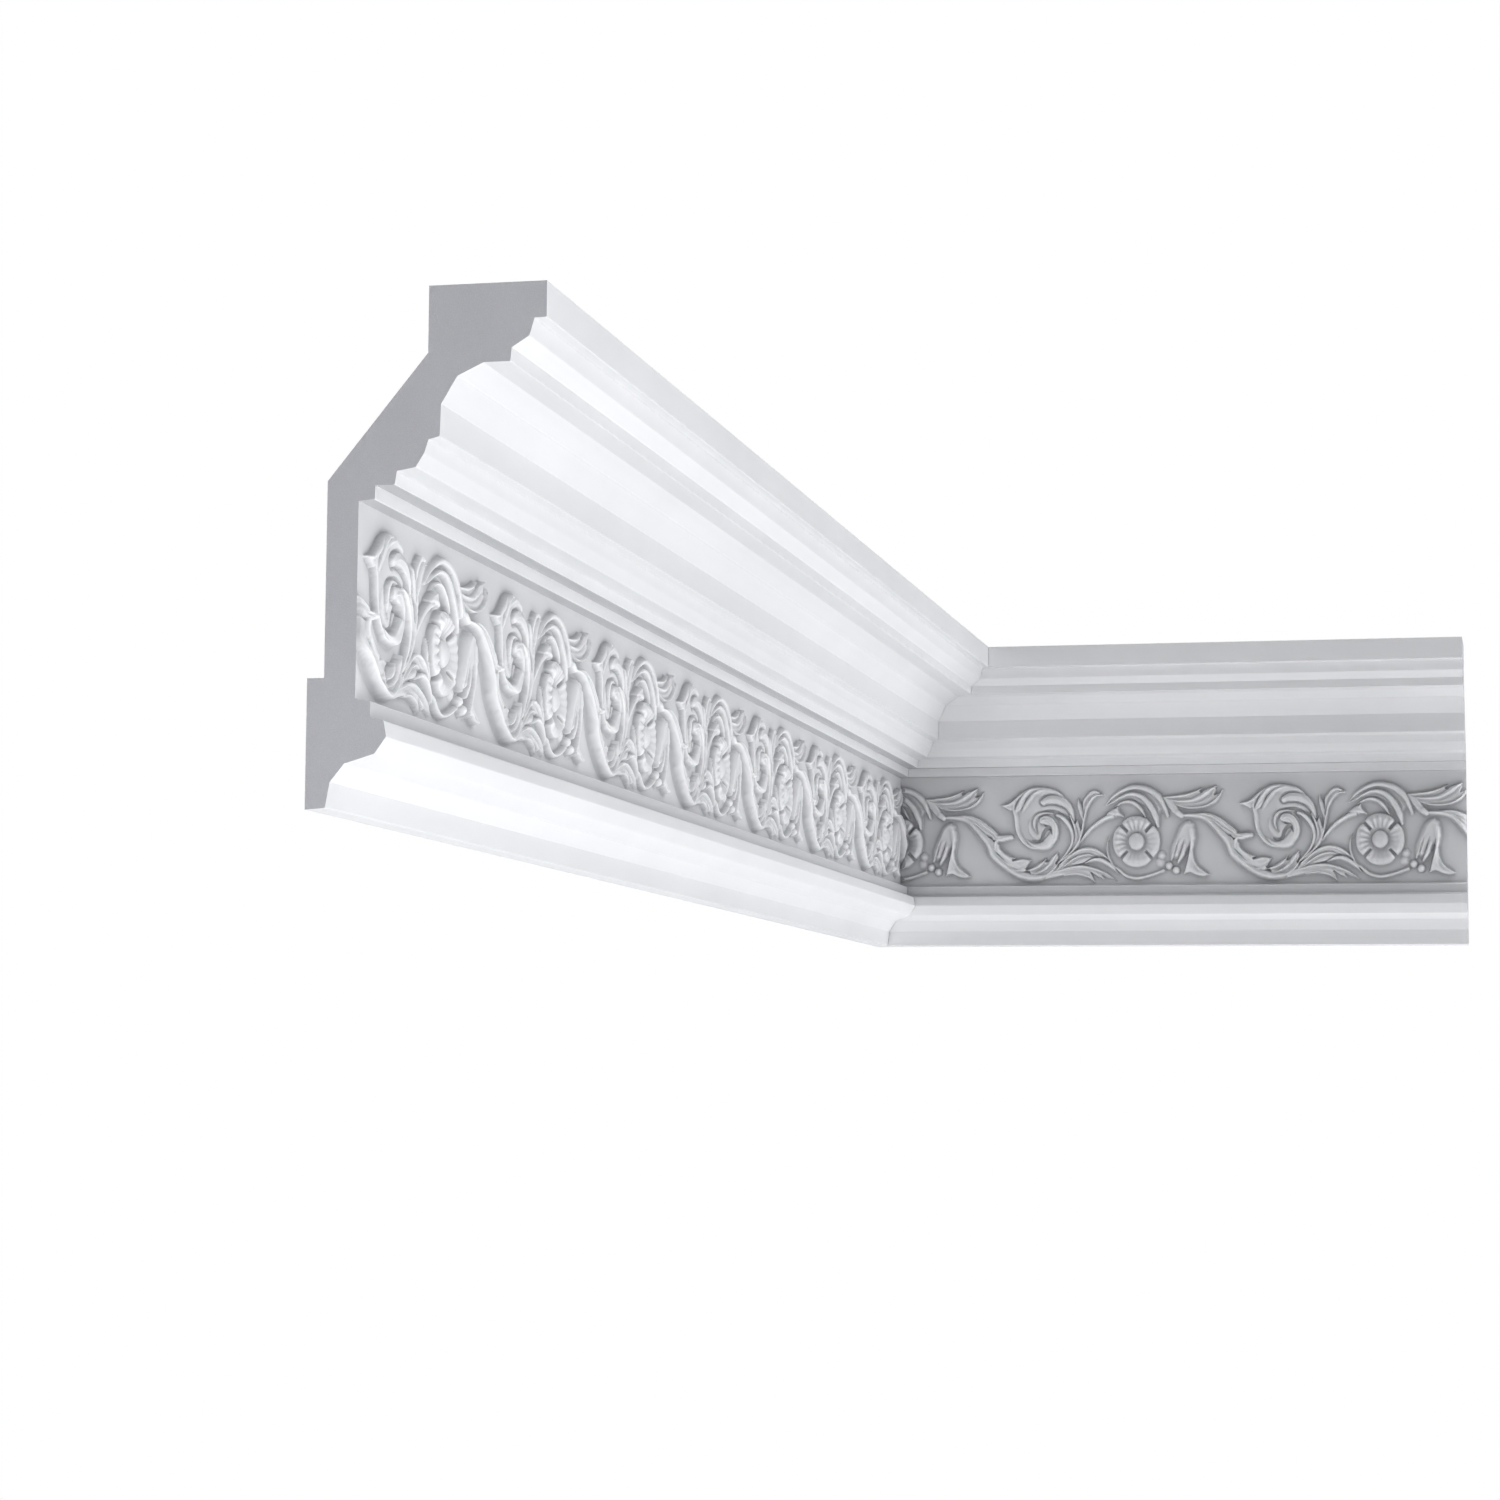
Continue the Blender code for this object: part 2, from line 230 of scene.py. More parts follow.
def spread(values, t):
    """Values given evenly from start to end, read at t."""
    return np.interp(t, np.linspace(0, 1, len(values)), values)


# %% [markdown]
# A stroke's width and height change along it, its walls fall steeply to the ground, and flutes can run
# along it, the hollows that give a leaf its veins. A carved line takes away from what is there or, with
# a depth below zero, adds a ridge. A sheet is the blade of a leaf inside an outline.

# %% Strokes, lines and sheets
MARGIN, LINE_MARGIN = 1.5, 0.5
THINNEST, SHORTEST_WALL = 0.05, 0.2
FLUTE_ROUNDNESS, FLUTES_FROM = 0.8, 2.6
TRENCH_REACH, TRENCH_START = 1.3, 4
LOW_GROUND = 0.8
POINTS_TO_A_KNOT = 14
LEVEL = 1e-9


def stroke(knots, widths, rises, walls=(0.8, 0.8), crown=0.4, flutes=0, cut=0.0, trench=0.0):
    """A leaf lobe or a stem: widths and rises are spread evenly from its start to its end.

    walls are how far its left and right sides take to fall, crown is the share of the rise that
    its cross section rounds off, cut is how deep the flutes are, as a share of the rise, and
    trench is how deep the shapes beside it are cut down, so that it stands clear of them.
    """
    near, t, off = beside(flowing(knots), max(widths) / 2 + MARGIN)
    half = spread(widths, t) / 2
    inside = half - np.abs(off)
    across = off / np.maximum(half, THINNEST)
    wall = np.minimum(np.where(off > 0, walls[0], walls[1]), np.maximum(half, SHORTEST_WALL))
    body = 1 - crown * across**2
    if flutes:
        waves = np.abs(np.sin(np.pi * (across + 1) / 2 * flutes)) ** FLUTE_ROUNDNESS
        body = body - cut * waves * np.clip(half / max(widths) * FLUTES_FROM, 0, 1)
    height = np.where(inside > 0, spread(rises, t) * body * ease(inside / wall), 0)
    ground = panel[near]
    if trench:
        depth = trench * ease(TRENCH_START * t) * ease(1 + inside / TRENCH_REACH)
        ground = np.maximum(ground - depth, np.minimum(ground, 0))
    panel[near] = np.maximum(ground, height)


def carve(knots, widths, depths):
    """A groove, or with depths below zero a ridge, on what is already there."""
    near, t, off = beside(flowing(knots), max(widths) / 2 + LINE_MARGIN)
    across = np.clip(np.abs(off) / np.maximum(spread(widths, t) / 2, THINNEST), 0, 1)
    ground = panel[near]
    change = spread(depths, t) * (1 - across**2) ** 2 * ease(ground / LOW_GROUND)
    panel[near] = np.maximum(ground - change, np.minimum(ground, 0))


def sheet(arcs, start, end, wall=0.8):
    """A leaf's blade inside arcs. Its rise goes from that of start to that of end, each (s, z, rise).

    The first arc is whole, and each other one starts where the one before it ended, in a corner.
    """
    path, corner = [], ()
    for arc in arcs:
        arc = corner + arc
        path.append(flowing(arc, POINTS_TO_A_KNOT * len(arc)))
        corner = arc[-1:]
    path = np.concatenate(path)
    low, high = path.min(0) - LINE_MARGIN, path.max(0) + LINE_MARGIN
    near = (S >= low[0]) & (S <= high[0]) & (Z >= low[1]) & (Z <= high[1])
    points = np.stack([S[near], Z[near]], 1)
    one, two = path, np.roll(path, -1, axis=0)
    spans = (one[None, :, 1] > points[:, None, 1]) != (two[None, :, 1] > points[:, None, 1])
    climb = np.where(two[:, 1] == one[:, 1], LEVEL, two[:, 1] - one[:, 1])
    lean = (two[:, 0] - one[:, 0]) / climb
    crossing = one[None, :, 0] + (points[:, None, 1] - one[None, :, 1]) * lean[None]
    inside = (spans & (points[:, None, 0] < crossing)).sum(1) % 2 == 1
    distance = np.sqrt(((points[:, None] - path[None]) ** 2).sum(-1).min(1))
    way = np.array(end[:2]) - np.array(start[:2])
    share = np.clip(((points - start[:2]) @ way) / (way @ way), 0, 1)
    rise = start[2] + (end[2] - start[2]) * share
    panel[near] = np.maximum(panel[near], np.where(inside, rise * ease(distance / wall), 0))


# %% [markdown]
# ### The scroll
#
# The scroll is a broad leaf that winds in on itself, a volute. Its outer rim is a crest, its face dips
# to a shallow floor, and further in the band turns into a round coil. It is drawn round its centre:
# at each turn, in degrees, the tables give the outer and inner radius, the crest and the floor.

# %% Scroll
SCROLL_CENTRE = (27.0, 73.0)
OUTER_TURNS = (
    15, 31, 45, 57, 68, 90, 106, 118, 131, 144, 152, 160, 170, 180, 199, 218, 236, 253, 270, 285,
    301, 318, 339, 359, 380, 400, 422, 446, 466, 485)
OUTER = (
    19.5, 20.7, 21.7, 23.2, 24.2, 24.8, 25.6, 25.5, 25, 24.4, 22.2, 20, 18.8, 18.2, 17.3, 16.7, 16.2,
    15.2, 14.3, 13.9, 13, 11.9, 10.5, 9.5, 8.7, 8.3, 7.8, 7.3, 6.4, 4.6)
INNER_TURNS = (
    15, 45, 68, 90, 115, 145, 180, 210, 227, 242, 260, 270, 285, 301, 320, 340, 350, 359, 380, 400,
    422, 446, 466, 485)
INNER = (
    15.5, 13, 11, 9.1, 8.6, 7.6, 7, 6.5, 6, 6, 8.4, 9.4, 7.6, 5.2, 5, 5.6, 5, 4.5, 2.5, 1,
    0.6, 0.5, 0.8, 2)
CREST_TURNS = (15, 60, 120, 160, 200, 250, 300, 340, 380, 440, 485)
CREST = (1.9, 2.4, 2.9, 2.6, 2.5, 3, 3.4, 3.7, 3.9, 3.7, 3.1)
FLOOR_TURNS = (15, 60, 90, 130, 160, 200, 250, 285, 330)
FLOOR = (1.3, 1.3, 1.4, 1.1, 0.7, 0.5, 0.9, 2.3, 3)
RIM_TURNS = (15, 60, 120, 160, 190, 240, 270, 300)
RIM = (4, 5, 6.4, 4.4, 3.6, 3.4, 4.2, 6)
WALL_TURNS = (15, 130, 160, 240, 290, 500)
WALL = (0.8, 0.8, 1.1, 1.1, 0.9, 0.8)
INNER_WALL = 0.9
THINNEST_RIM = 0.1
CREST_AT, PAST_CREST, FALL_SHAPE = 0.32, 0.68, 1.4
SCROLL_START, SCROLL_END = 15, 490
START_FADE, END_FADE = 25, 8
COIL_FLOOR, COIL_REACH, COIL_WALL = 1.4, 10.5, 2

radius = np.hypot(S - SCROLL_CENTRE[0], Z - SCROLL_CENTRE[1])
bearing = np.degrees(np.arctan2(Z - SCROLL_CENTRE[1], S - SCROLL_CENTRE[0])) % 360
for lap in (0, 360):
    turn = bearing + lap
    outer = np.interp(turn, OUTER_TURNS, OUTER)
    inner = np.interp(turn, INNER_TURNS, INNER)
    crest = np.interp(turn, CREST_TURNS, CREST)
    floor = np.interp(turn, FLOOR_TURNS, FLOOR)
    width = np.minimum(np.interp(turn, RIM_TURNS, RIM), outer - inner)
    x = (outer - radius) / np.maximum(width, THINNEST_RIM)
    climb = np.sin(np.pi / 2 * np.clip(x / CREST_AT, 0, 1))
    fall = np.cos(np.pi / 2 * np.clip((x - CREST_AT) / PAST_CREST, 0, 1)) ** FALL_SHAPE
    height = floor + (crest - floor) * np.where(x < CREST_AT, climb, fall)
    wall = np.interp(turn, WALL_TURNS, WALL)
    height = height * ease((outer - radius) / wall) * ease((radius - inner) / INNER_WALL)
    height = height * ease((turn - SCROLL_START) / START_FADE) * ease((SCROLL_END - turn) / END_FADE)
    lay(np.where((turn <= SCROLL_END) & (radius > inner) & (radius < outer), height, 0))
lay(COIL_FLOOR * ease((COIL_REACH - radius) / COIL_WALL))
print("scroll, highest", round(panel.max(), 2), "mm")

# %% The leaf's tip and its three fingers
sheet(
    (((-0.5, 86.5), (2.5, 87.1), (6.1, 88.3), (10.6, 91.9), (15.2, 95.6)), ((16.5, 90.1), (13.4, 83.8),
    (10.6, 81.8)), ((8.1, 83.2), (6.5, 83), (2.5, 85), (-0.5, 86.5))), (-0.5, 86.5, 1.9), (14, 89, 2.6),
    0.7)
carve(
    ((0.2, 86.4), (3.8, 86.3), (7.2, 87.4), (11.5, 90.8), (15.6, 94.1), (20.8, 96.7)),
    (1.2, 2.4, 2.6, 2.6, 2.4, 1), (-0.2, -0.7, -0.9, -0.9, -0.7, -0.2))
carve(
    ((10.3, 81.8), (10.8, 84.5), (11.9, 87), (14.3, 90.8), (17.2, 94), (20.8, 96), (25.2, 96.7)),
    (1.4, 2.2, 2.6, 2.6, 2.4, 2, 0.8), (-0.2, -0.8, -1.1, -1.1, -0.9, -0.6, -0.2))
carve(
    ((14.1, 81.8), (15.5, 85.4), (18.4, 89.6), (21.2, 92.7), (24.7, 94.8), (29, 95.9)),
    (1.6, 3.2, 3.4, 3, 2.6, 1), (-0.2, -0.9, -1.1, -1, -0.8, -0.2))
carve(
    ((9, 82.7), (9.8, 85.2), (10.9, 87.9), (13, 91.2), (15.9, 94.5), (18.5, 95.9)),
    (1, 1.8, 1.8, 1.8, 1.6, 0.8), (0.3, 0.9, 1.1, 1, 0.7, 0.2))
carve(
    ((13, 83), (13.9, 86.1), (15.5, 88.7), (18.1, 92.1), (21.4, 94.8), (24.3, 95.9)),
    (1, 1.8, 1.8, 1.8, 1.6, 0.8), (0.3, 0.8, 1, 0.9, 0.6, 0.2))

# %% The curl inside the scroll, the coil that ends in a ball, and the notch below it
stroke(
    ((32.9, 81.2), (28.4, 81.3), (24.3, 80), (22, 77.3), (21.6, 73.8), (22.6, 70.5), (23.5, 69.1)),
    (1.4, 2.2, 3, 3.4, 3.3, 2, 0.5), (2, 2.2, 2.4, 2.6, 2.6, 2.3, 1.8), (1.5, 0.8), 0.3, trench=0.6)
stroke(
    ((15.5, 66), (20.2, 61.8), (25, 60.9), (29.2, 62.2), (31.6, 65.4), (33.2, 68.8), (33.6, 72.6),
    (31.8, 75.8), (29.3, 77.3), (27, 76.6)), (1.2, 3.6, 4.8, 6.6, 8.6, 7.4, 5.6, 5.2, 5, 4.2),
    (0.3, 2.6, 3.6, 4.1, 4.3, 4.4, 4.4, 4.4, 4.4, 4.2), (2, 2))
carve(
    ((20.6, 64.8), (23.4, 63.8), (26, 65), (26.9, 68), (28.4, 70.8), (30.7, 72.2), (32.1, 70.6),
    (32.6, 68.4)), (1.6, 2.6, 2.6, 2.4, 2.6, 2.8, 2.2, 1.2), (0.6, 1.6, 2.2, 2.8, 3.4, 3.8, 2.8, 1))
carve(((25.8, 75), (27.6, 74.3), (29.6, 73.5)), (1.2, 1.8, 1.4), (0.6, 1.8, 1))

# %% Two leaves that curl over the scroll from the right
stroke(
    ((46.1, 76.7), (44, 83.1), (41.2, 86.8), (37.5, 88.9), (33.4, 89.8), (29.5, 89.4), (27.2, 88.2)),
    (1.8, 3.6, 4.8, 6, 6.2, 6.2, 4.6), (2.2, 2.8, 3.1, 3.3, 3.4, 3.4, 3.1), (1, 1), 0.3, flutes=2,
    cut=0.14, trench=0.8)
sheet(
    (((42.7, 79.8), (44, 80.5)), ((45.3, 78.3), (46.7, 75.3)), ((47.5, 77.2), (48.1, 78.7)),
    ((49.7, 73.8), (51.2, 68.8), (49.9, 64.5), (47, 59.7), (42.5, 55)), ((44.6, 61), (45.8, 66.5),
    (44.8, 72.8), (42.7, 79.8))), (45, 60, 2.3), (46, 80, 2.5), 0.9)
carve(
    ((43.9, 79.8), (45.6, 74.7), (47.1, 69.2), (46.8, 64.5), (44.3, 59.2)), (1.2, 2, 2.2, 1.8, 1),
    (-0.5, -0.8, -0.8, -0.6, -0.2))
carve(((46.8, 75.1), (48.1, 70.1), (48.5, 65.6), (46.5, 61)), (1.2, 2, 1.8, 1), (0.6, 0.9, 0.7, 0.2))
stroke(
    ((36.1, 50.7), (40.5, 55), (43.9, 60.1), (45.4, 65.8), (44.4, 71.2), (41.7, 75.8), (38.4, 78.9),
    (35.5, 80)), (1.6, 2.4, 2.8, 3, 3.2, 3.6, 3.8, 2.6), (2.7, 2.8, 2.9, 3, 3.1, 3.3, 3.5, 3.2),
    (0.9, 1.4), trench=0.8)
print("volute, highest", round(panel.max(), 2), "mm")

# %% [markdown]
# ### Leaves, branch and arches
#
# Each leaf is one long stroke or a sheet with flutes. The tips rise most, because on a carved acanthus
# they curl away from the ground.

# %% Upright leaf
sheet(
    (((51.2, 78.3), (50.8, 83.8), (51.3, 88.8), (53.2, 91.8), (55.4, 94.3), (58.1, 95.5), (61, 94.8),
    (64.1, 92.5)), ((60.8, 91.9), (57.7, 89.6), (55.4, 85.9), (53.8, 81.5), (52.8, 75.6), (51.9, 69.2)),
    ((51.4, 73.8), (51.2, 78.3))), (50.5, 68, 2.2), (60, 93, 2.7), 1)
stroke(
    ((36.3, 50.5), (42.5, 55.2), (47, 59.9), (49.7, 65.2), (51.3, 71), (52.2, 77.2), (53.5, 83),
    (56.1, 88.3), (59.5, 91.6), (63.9, 92.5)), (2, 2.6, 2.8, 2.8, 2.6, 2.4, 2.4, 2.6, 2.4, 0.8),
    (2.8, 3, 3.1, 3.1, 3.1, 3.1, 3.2, 3.3, 3.3, 2.8), (0.9, 1.3), 0.45)
carve(
    ((62.6, 92.9), (59.4, 93.2), (56.3, 91.4), (53.9, 88.1), (52.5, 83.8), (51.9, 78.3)),
    (0.8, 1.6, 2, 2, 1.6, 0.8), (0.3, 0.7, 0.9, 0.8, 0.6, 0.2))
stroke(
    ((51.5, 76.7), (50.5, 81.9), (49.1, 86.9), (48.5, 90.5)), (1.6, 3.2, 3.4, 0.6), (2.4, 2.6, 2.7, 2.2),
    (0.7, 0.8), 0.3, flutes=2, cut=0.16, trench=0.6)

# %% Branch
stroke(
    ((49.6, 62.8), (52.5, 66.9), (56.3, 71.2), (60.9, 74.8), (65.5, 77.5), (69.7, 79.2)),
    (1.4, 2.4, 3, 3.4, 3.8, 4.4), (2.4, 2.9, 3.2, 3.3, 3.4, 3.5), (0.8, 1.8), 0.45)
sheet(
    (((66.7, 81.8), (69.3, 83.6), (71.8, 84.8), (74, 86.8)), ((73.8, 84.1), (74.7, 81.8), (76.9, 78.7)),
    ((74.4, 79.2), (72, 78.1)), ((69.6, 78.8), (66.7, 78.5))), (68, 80, 3.2), (74, 83, 4), 1.5)
stroke(
    ((66.9, 80.1), (70.5, 80.8), (74, 80.1), (76.7, 78.7)), (2.4, 3.8, 3.2, 1), (2.8, 4.1, 4.1, 3.4),
    (0.9, 0.9), 0.45)

# %% Arched leaves
sheet(
    (((66, 86), (70, 91.2), (75.5, 94.8), (81.8, 97.2), (88.2, 96.8), (93.8, 94.8), (98.9, 91.2),
    (101.8, 86), (103.5, 79.2)), ((101.4, 81), (100, 81.8)), ((98.9, 78.3), (97.5, 72.5)), ((95.1, 76.7),
    (91.5, 81.8), (88.2, 85.1)), ((81.8, 88.3), (75.5, 88.1), (66, 86))), (66, 86, 1), (98, 84, 1.8), 1.8)
stroke(
    ((65.6, 86.3), (70, 91), (75.5, 94.5), (81.8, 96.7), (88.2, 96.3), (93.8, 94.1), (98.5, 90.1),
    (101.5, 84.8), (103.5, 79.2)), (1, 3.2, 4.4, 4.8, 5, 5.4, 5.6, 4.6, 2.8),
    (1, 1.7, 2.3, 2.9, 3.2, 3.4, 3.6, 3.7, 3.4), (2, 1.6), 0.35, trench=0.3)
stroke(
    ((65.8, 85.9), (70, 87.8), (74.5, 90.5), (80, 92.5), (85.6, 91.8), (90.4, 88.5), (94, 83.6),
    (96.3, 78.3), (97.5, 72.7)), (1, 2.4, 3.4, 4.2, 4.8, 5.4, 5.6, 5.2, 3),
    (0.9, 1.5, 2.2, 2.9, 3.3, 3.5, 3.8, 4, 3.8), (1.8, 1.6), 0.35, trench=0.5)
stroke(
    ((70.9, 84.5), (75.1, 87.2), (79.8, 87.9), (83.8, 86.3), (87.3, 82.8), (89.8, 78.7)),
    (0.8, 2.2, 3, 3.4, 3.4, 2), (1.4, 2.2, 2.6, 2.8, 3, 3), (1.1, 1.4), 0.5, trench=0.5)
print("leaves above, highest", round(panel.max(), 2), "mm")

# %% [markdown]
# ### The rosette
#
# Four petals stand round a boss, the flower's button. Each petal is a dish: low at the boss, high at its
# rim, with fine rays, and a thin cut parts it from the next. All four are the same, so the
# angle is folded to one petal's. The rays are worn away more on one side of the flower.

# %% Rosette
ROSETTE_CENTRE = (84.4, 63.4)
ROSETTE_TALL = 1.08
PETAL_REACH, PETAL_DRAWN_IN = 15.0, 0.10
DISH_FLOOR = 0.5
DISH_RISE, RISE_FROM, RISE_OVER = 3.5, 4.4, 7.6
DISH_FALL, FALL_FROM, FALL_OVER = 1.6, 11.4, 3.8
RAY_RISE, RAY_WAVES, RAYS_FROM, RAYS_TO, RAY_FADE = 0.55, 22, 6.0, 14.8, 3
WORN_EVEN, WORN_UNEVEN, WORN_FROM = 0.55, 0.45, 2.3
PARTING, PARTING_TAPER, TAPER_FROM, PARTING_WALL = 0.2, 0.04, 7, 0.9
SLIT_FROM, SLIT_OVER, SLIT_DEPTH = 7.2, 1.5, 0.9
BOSS, BOSS_FOOT, BOSS_RISE = 5.0, 0.9, 3.3

x = S - ROSETTE_CENTRE[0]
y = (Z - ROSETTE_CENTRE[1]) / ROSETTE_TALL
radius = np.hypot(x, y)
quarter = np.pi / 4
petal = np.abs((np.arctan2(y, x) + quarter) % (2 * quarter) - quarter)
edge = PETAL_REACH * (1 - PETAL_DRAWN_IN * (petal / quarter) ** 4)
rising = ease((radius - RISE_FROM) / RISE_OVER)
falling = ease((radius - FALL_FROM) / FALL_OVER)
dish = DISH_FLOOR + DISH_RISE * rising - DISH_FALL * falling
worn = WORN_EVEN + WORN_UNEVEN * np.cos(np.arctan2(y, x) - WORN_FROM)
rays = RAY_RISE * worn * np.cos(petal * RAY_WAVES)
rays = rays * ease((radius - RAYS_FROM) / RAY_FADE) * ease((RAYS_TO - radius) / RAY_FADE)
parting = radius * np.sin(quarter - petal) - PARTING
parting = parting - PARTING_TAPER * np.maximum(radius - TAPER_FROM, 0)
leaf = (dish + rays) * ease(edge - radius)
slit = ease((radius - SLIT_FROM) / SLIT_OVER)
leaf = leaf * (1 - slit * (SLIT_DEPTH - SLIT_DEPTH * ease(parting / PARTING_WALL)))
button = BOSS_FOOT + BOSS_RISE * np.sqrt(np.clip(1 - (radius / BOSS) ** 2, 0, 1))
flower = np.where(radius < BOSS, button, leaf)
panel[radius < edge] = flower[radius < edge]
print("rosette, highest", round(panel.max(), 2), "mm")

# %% The stem below the rosette, and the berries: along, up, radius, rise and roundness
BERRIES = (
    (104.2, 48.3, 2.3, 3.6, 0.5),
    (108.6, 45.6, 2.4, 3.8, 0.5),
    (99.6, 55.0, 3.0, 2.2, 1.2),
    (99.0, 50.6, 3.2, 1.5, 1.2),
)
stroke(
    ((67.8, 66.8), (66.7, 62.8), (66.5, 58.3), (67.4, 53.8), (69.7, 49), (73.1, 46.3), (78, 42.5),
    (83.6, 40.9), (89.3, 41.6), (94.7, 43.2), (101.1, 45.6)),
    (0.6, 1.8, 2.3, 2.6, 2.7, 2.8, 2.9, 2.9, 2.8, 2.7, 2.6),
    (2, 2.5, 2.8, 2.9, 2.9, 2.9, 2.9, 2.9, 2.9, 2.9, 2.8), (1.1, 1), 0.6, trench=0.5)
for s, z, radius, rise, roundness in BERRIES:
    away = np.hypot(S - s, Z - z) / radius
    lay(rise * np.clip(1 - away**2, 0, 1) ** roundness)
print("berries", len(BERRIES))

# %% [markdown]
# ### The lower leaves, the frond and the main stem
#
# The main stem swings down from the frond, crosses the joint between two repeats and ends in
# the fluted leaves under the scroll.

# %% Lower leaves
sheet(
    (((31.5, 42.8), (37, 49.9), (42.5, 54.7), (47.5, 58.3), (53.4, 59.9), (59, 59), (64.5, 55.8),
    (69.7, 50.1)), ((64.5, 52.1), (59.7, 53.4), (56.1, 52.1), (52.8, 50.5)), ((47.9, 49), (42.5, 47.4),
    (31.5, 42.8))), (36, 44, 2.6), (66, 52, 1.9), 0.8)
stroke(
    ((37, 49), (42.8, 53.8), (47.9, 57.2), (53.4, 58.8), (59, 57.9), (64.6, 54.7), (69.5, 49.9)),
    (1.8, 2.6, 3, 3.2, 3.2, 2.6, 0.8), (3, 3.3, 3.4, 3.4, 3.3, 2.9, 2.2), (0.7, 1.8), 0.5)
stroke(
    ((38.4, 47.4), (44.3, 51.8), (49.7, 54.5), (55.2, 55.4), (59.7, 54.1)), (1.4, 2.2, 2.6, 2.4, 0.8),
    (3.2, 3, 2.9, 2.6, 2.2), (0.7, 1.4), 0.5, trench=0.7)
stroke(
    ((52.6, 50.3), (55.9, 51.6), (59.9, 52.3), (64.5, 51), (69.7, 47.4), (73.2, 43.8)),
    (1, 2.8, 4, 4, 3, 0.8), (2.6, 3.2, 3.5, 3.3, 2.8, 2), (0.8, 2.4), 0.35, trench=0.9)
sheet(
    (((27, 39.8), (33.4, 41.4), (40.6, 42.8), (47.5, 43), (53.2, 41.4), (58.8, 38.4)), ((58.1, 41.4),
    (56.5, 44.5)), ((60.6, 41.9), (65.4, 39.9)), ((64.5, 41.4), (63.5, 42.7)), ((67.5, 40.8),
    (72.3, 39.4)), ((66.1, 44.5), (59.7, 47.4), (52.5, 49), (46.1, 48.7), (39.7, 46.8), (31.5, 45.6),
    (27, 39.8))), (36, 44, 2.8), (68, 42, 1.8), 0.7)
stroke(
    ((33.4, 44.5), (39.7, 46.3), (46.1, 47.8), (52.5, 47.9), (59.7, 46.1), (66.1, 43.4), (72.1, 39.6)),
    (2.4, 2.8, 2.8, 2.6, 2.4, 2, 0.7), (3.3, 3.2, 3, 2.9, 2.8, 2.6, 2), (0.7, 1.6), 0.5, trench=0.6)
stroke(
    ((39.7, 42.8), (47, 44.1), (53.2, 42.8), (56.6, 40.8), (58.8, 38.5)), (1.4, 2.6, 2.8, 2.2, 0.7),
    (2.8, 2.9, 2.8, 2.6, 2), (1.4, 0.8), 0.45, trench=0.5)

# %% Frond
sheet(
    (((97.3, 92.8), (101.8, 91.4), (107.3, 91.8), (113.6, 92.5), (119.1, 94.1), (124.5, 95.8)),
    ((123.8, 93.8), (125.5, 93.6)), ((129.1, 95.4), (132.9, 97)), ((133.6, 94.7), (132.4, 91.9)),
    ((134.7, 92.8), (136.9, 94.8)), ((136.2, 90.6), (132.7, 86.3), (127.3, 83.8), (120.9, 82.8),
    (113.6, 83.2), (108.2, 85), (103.6, 88.1), (97.3, 92.8))), (100, 90, 1.6), (132, 93, 2.2), 1)
stroke(
    ((100.9, 90.3), (107.3, 90.5), (113.6, 91.2), (119.1, 92.8), (124.5, 95.6)),
    (1.8, 2.4, 2.6, 2.4, 0.7), (2.2, 2.5, 2.7, 2.8, 2.5), (0.9, 1), 0.45, trench=0.3)
stroke(
    ((103.6, 88.7), (110.9, 87.9), (118.2, 88.3), (123.6, 90.5), (128.4, 93.6), (132.9, 96.7)),
    (1.6, 2.2, 3, 4, 4.6, 1.2), (2.2, 2.6, 2.9, 3.2, 3.4, 3), (0.9, 0.9), flutes=2, cut=0.12,
    trench=0.5)
stroke(
    ((108.2, 85.9), (114.5, 84.1), (120.9, 83.9), (127.1, 85), (132.2, 87.9), (135.3, 91.4),
    (136.9, 94.7)), (1.6, 2, 2.2, 2.2, 2.2, 1.9, 0.6), (2, 2.5, 2.8, 3, 3.2, 3.3, 2.9), (1.1, 0.9), 0.45,
    trench=0.6)
stroke(
    ((101.8, 89.7), (105.5, 86), (108.6, 81.8), (110.9, 79.4)), (4, 6.5, 6, 3.6), (2.2, 2.3, 2.5, 3),
    (1.6, 1.4))
stroke(((110, 80.5), (112, 79)), (4.4, 4), (3.6, 3.8), crown=0.5, trench=0.6)

# %% Main stem
CREST_BACK, CREST_DOWN = 0.9, 0.8
trunk = (
    (112.5, 79.2), (120.5, 79), (126.5, 77.6), (131.5, 73.9), (136.2, 68.8), (140.7, 63.2), (144, 56),
    (149.5, 51), (155.3, 46.5), (161.1, 43.4), (167.5, 41.9), (174, 42.5), (180.4, 44.7), (184.9, 48.5))
stroke(
    trunk, (3, 3.8, 4.8, 6.2, 7.2, 7.8, 8, 8, 8, 7.8, 7.4, 6.6, 5.4, 4),
    (3.2, 3.6, 3.9, 4.1, 4.2, 4.3, 4.4, 4.4, 4.4, 4.2, 3.9, 3.5, 3.1, 2.8), (3.2, 2.6), 0.15)
crest = [(s - CREST_BACK, z - CREST_DOWN) for s, z in trunk]
carve(crest, (1, 2, 3, 3.4, 3.4, 3.2, 2.6, 1.4), (-0.2, -0.6, -0.9, -1, -1, -0.9, -0.6, -0.2))

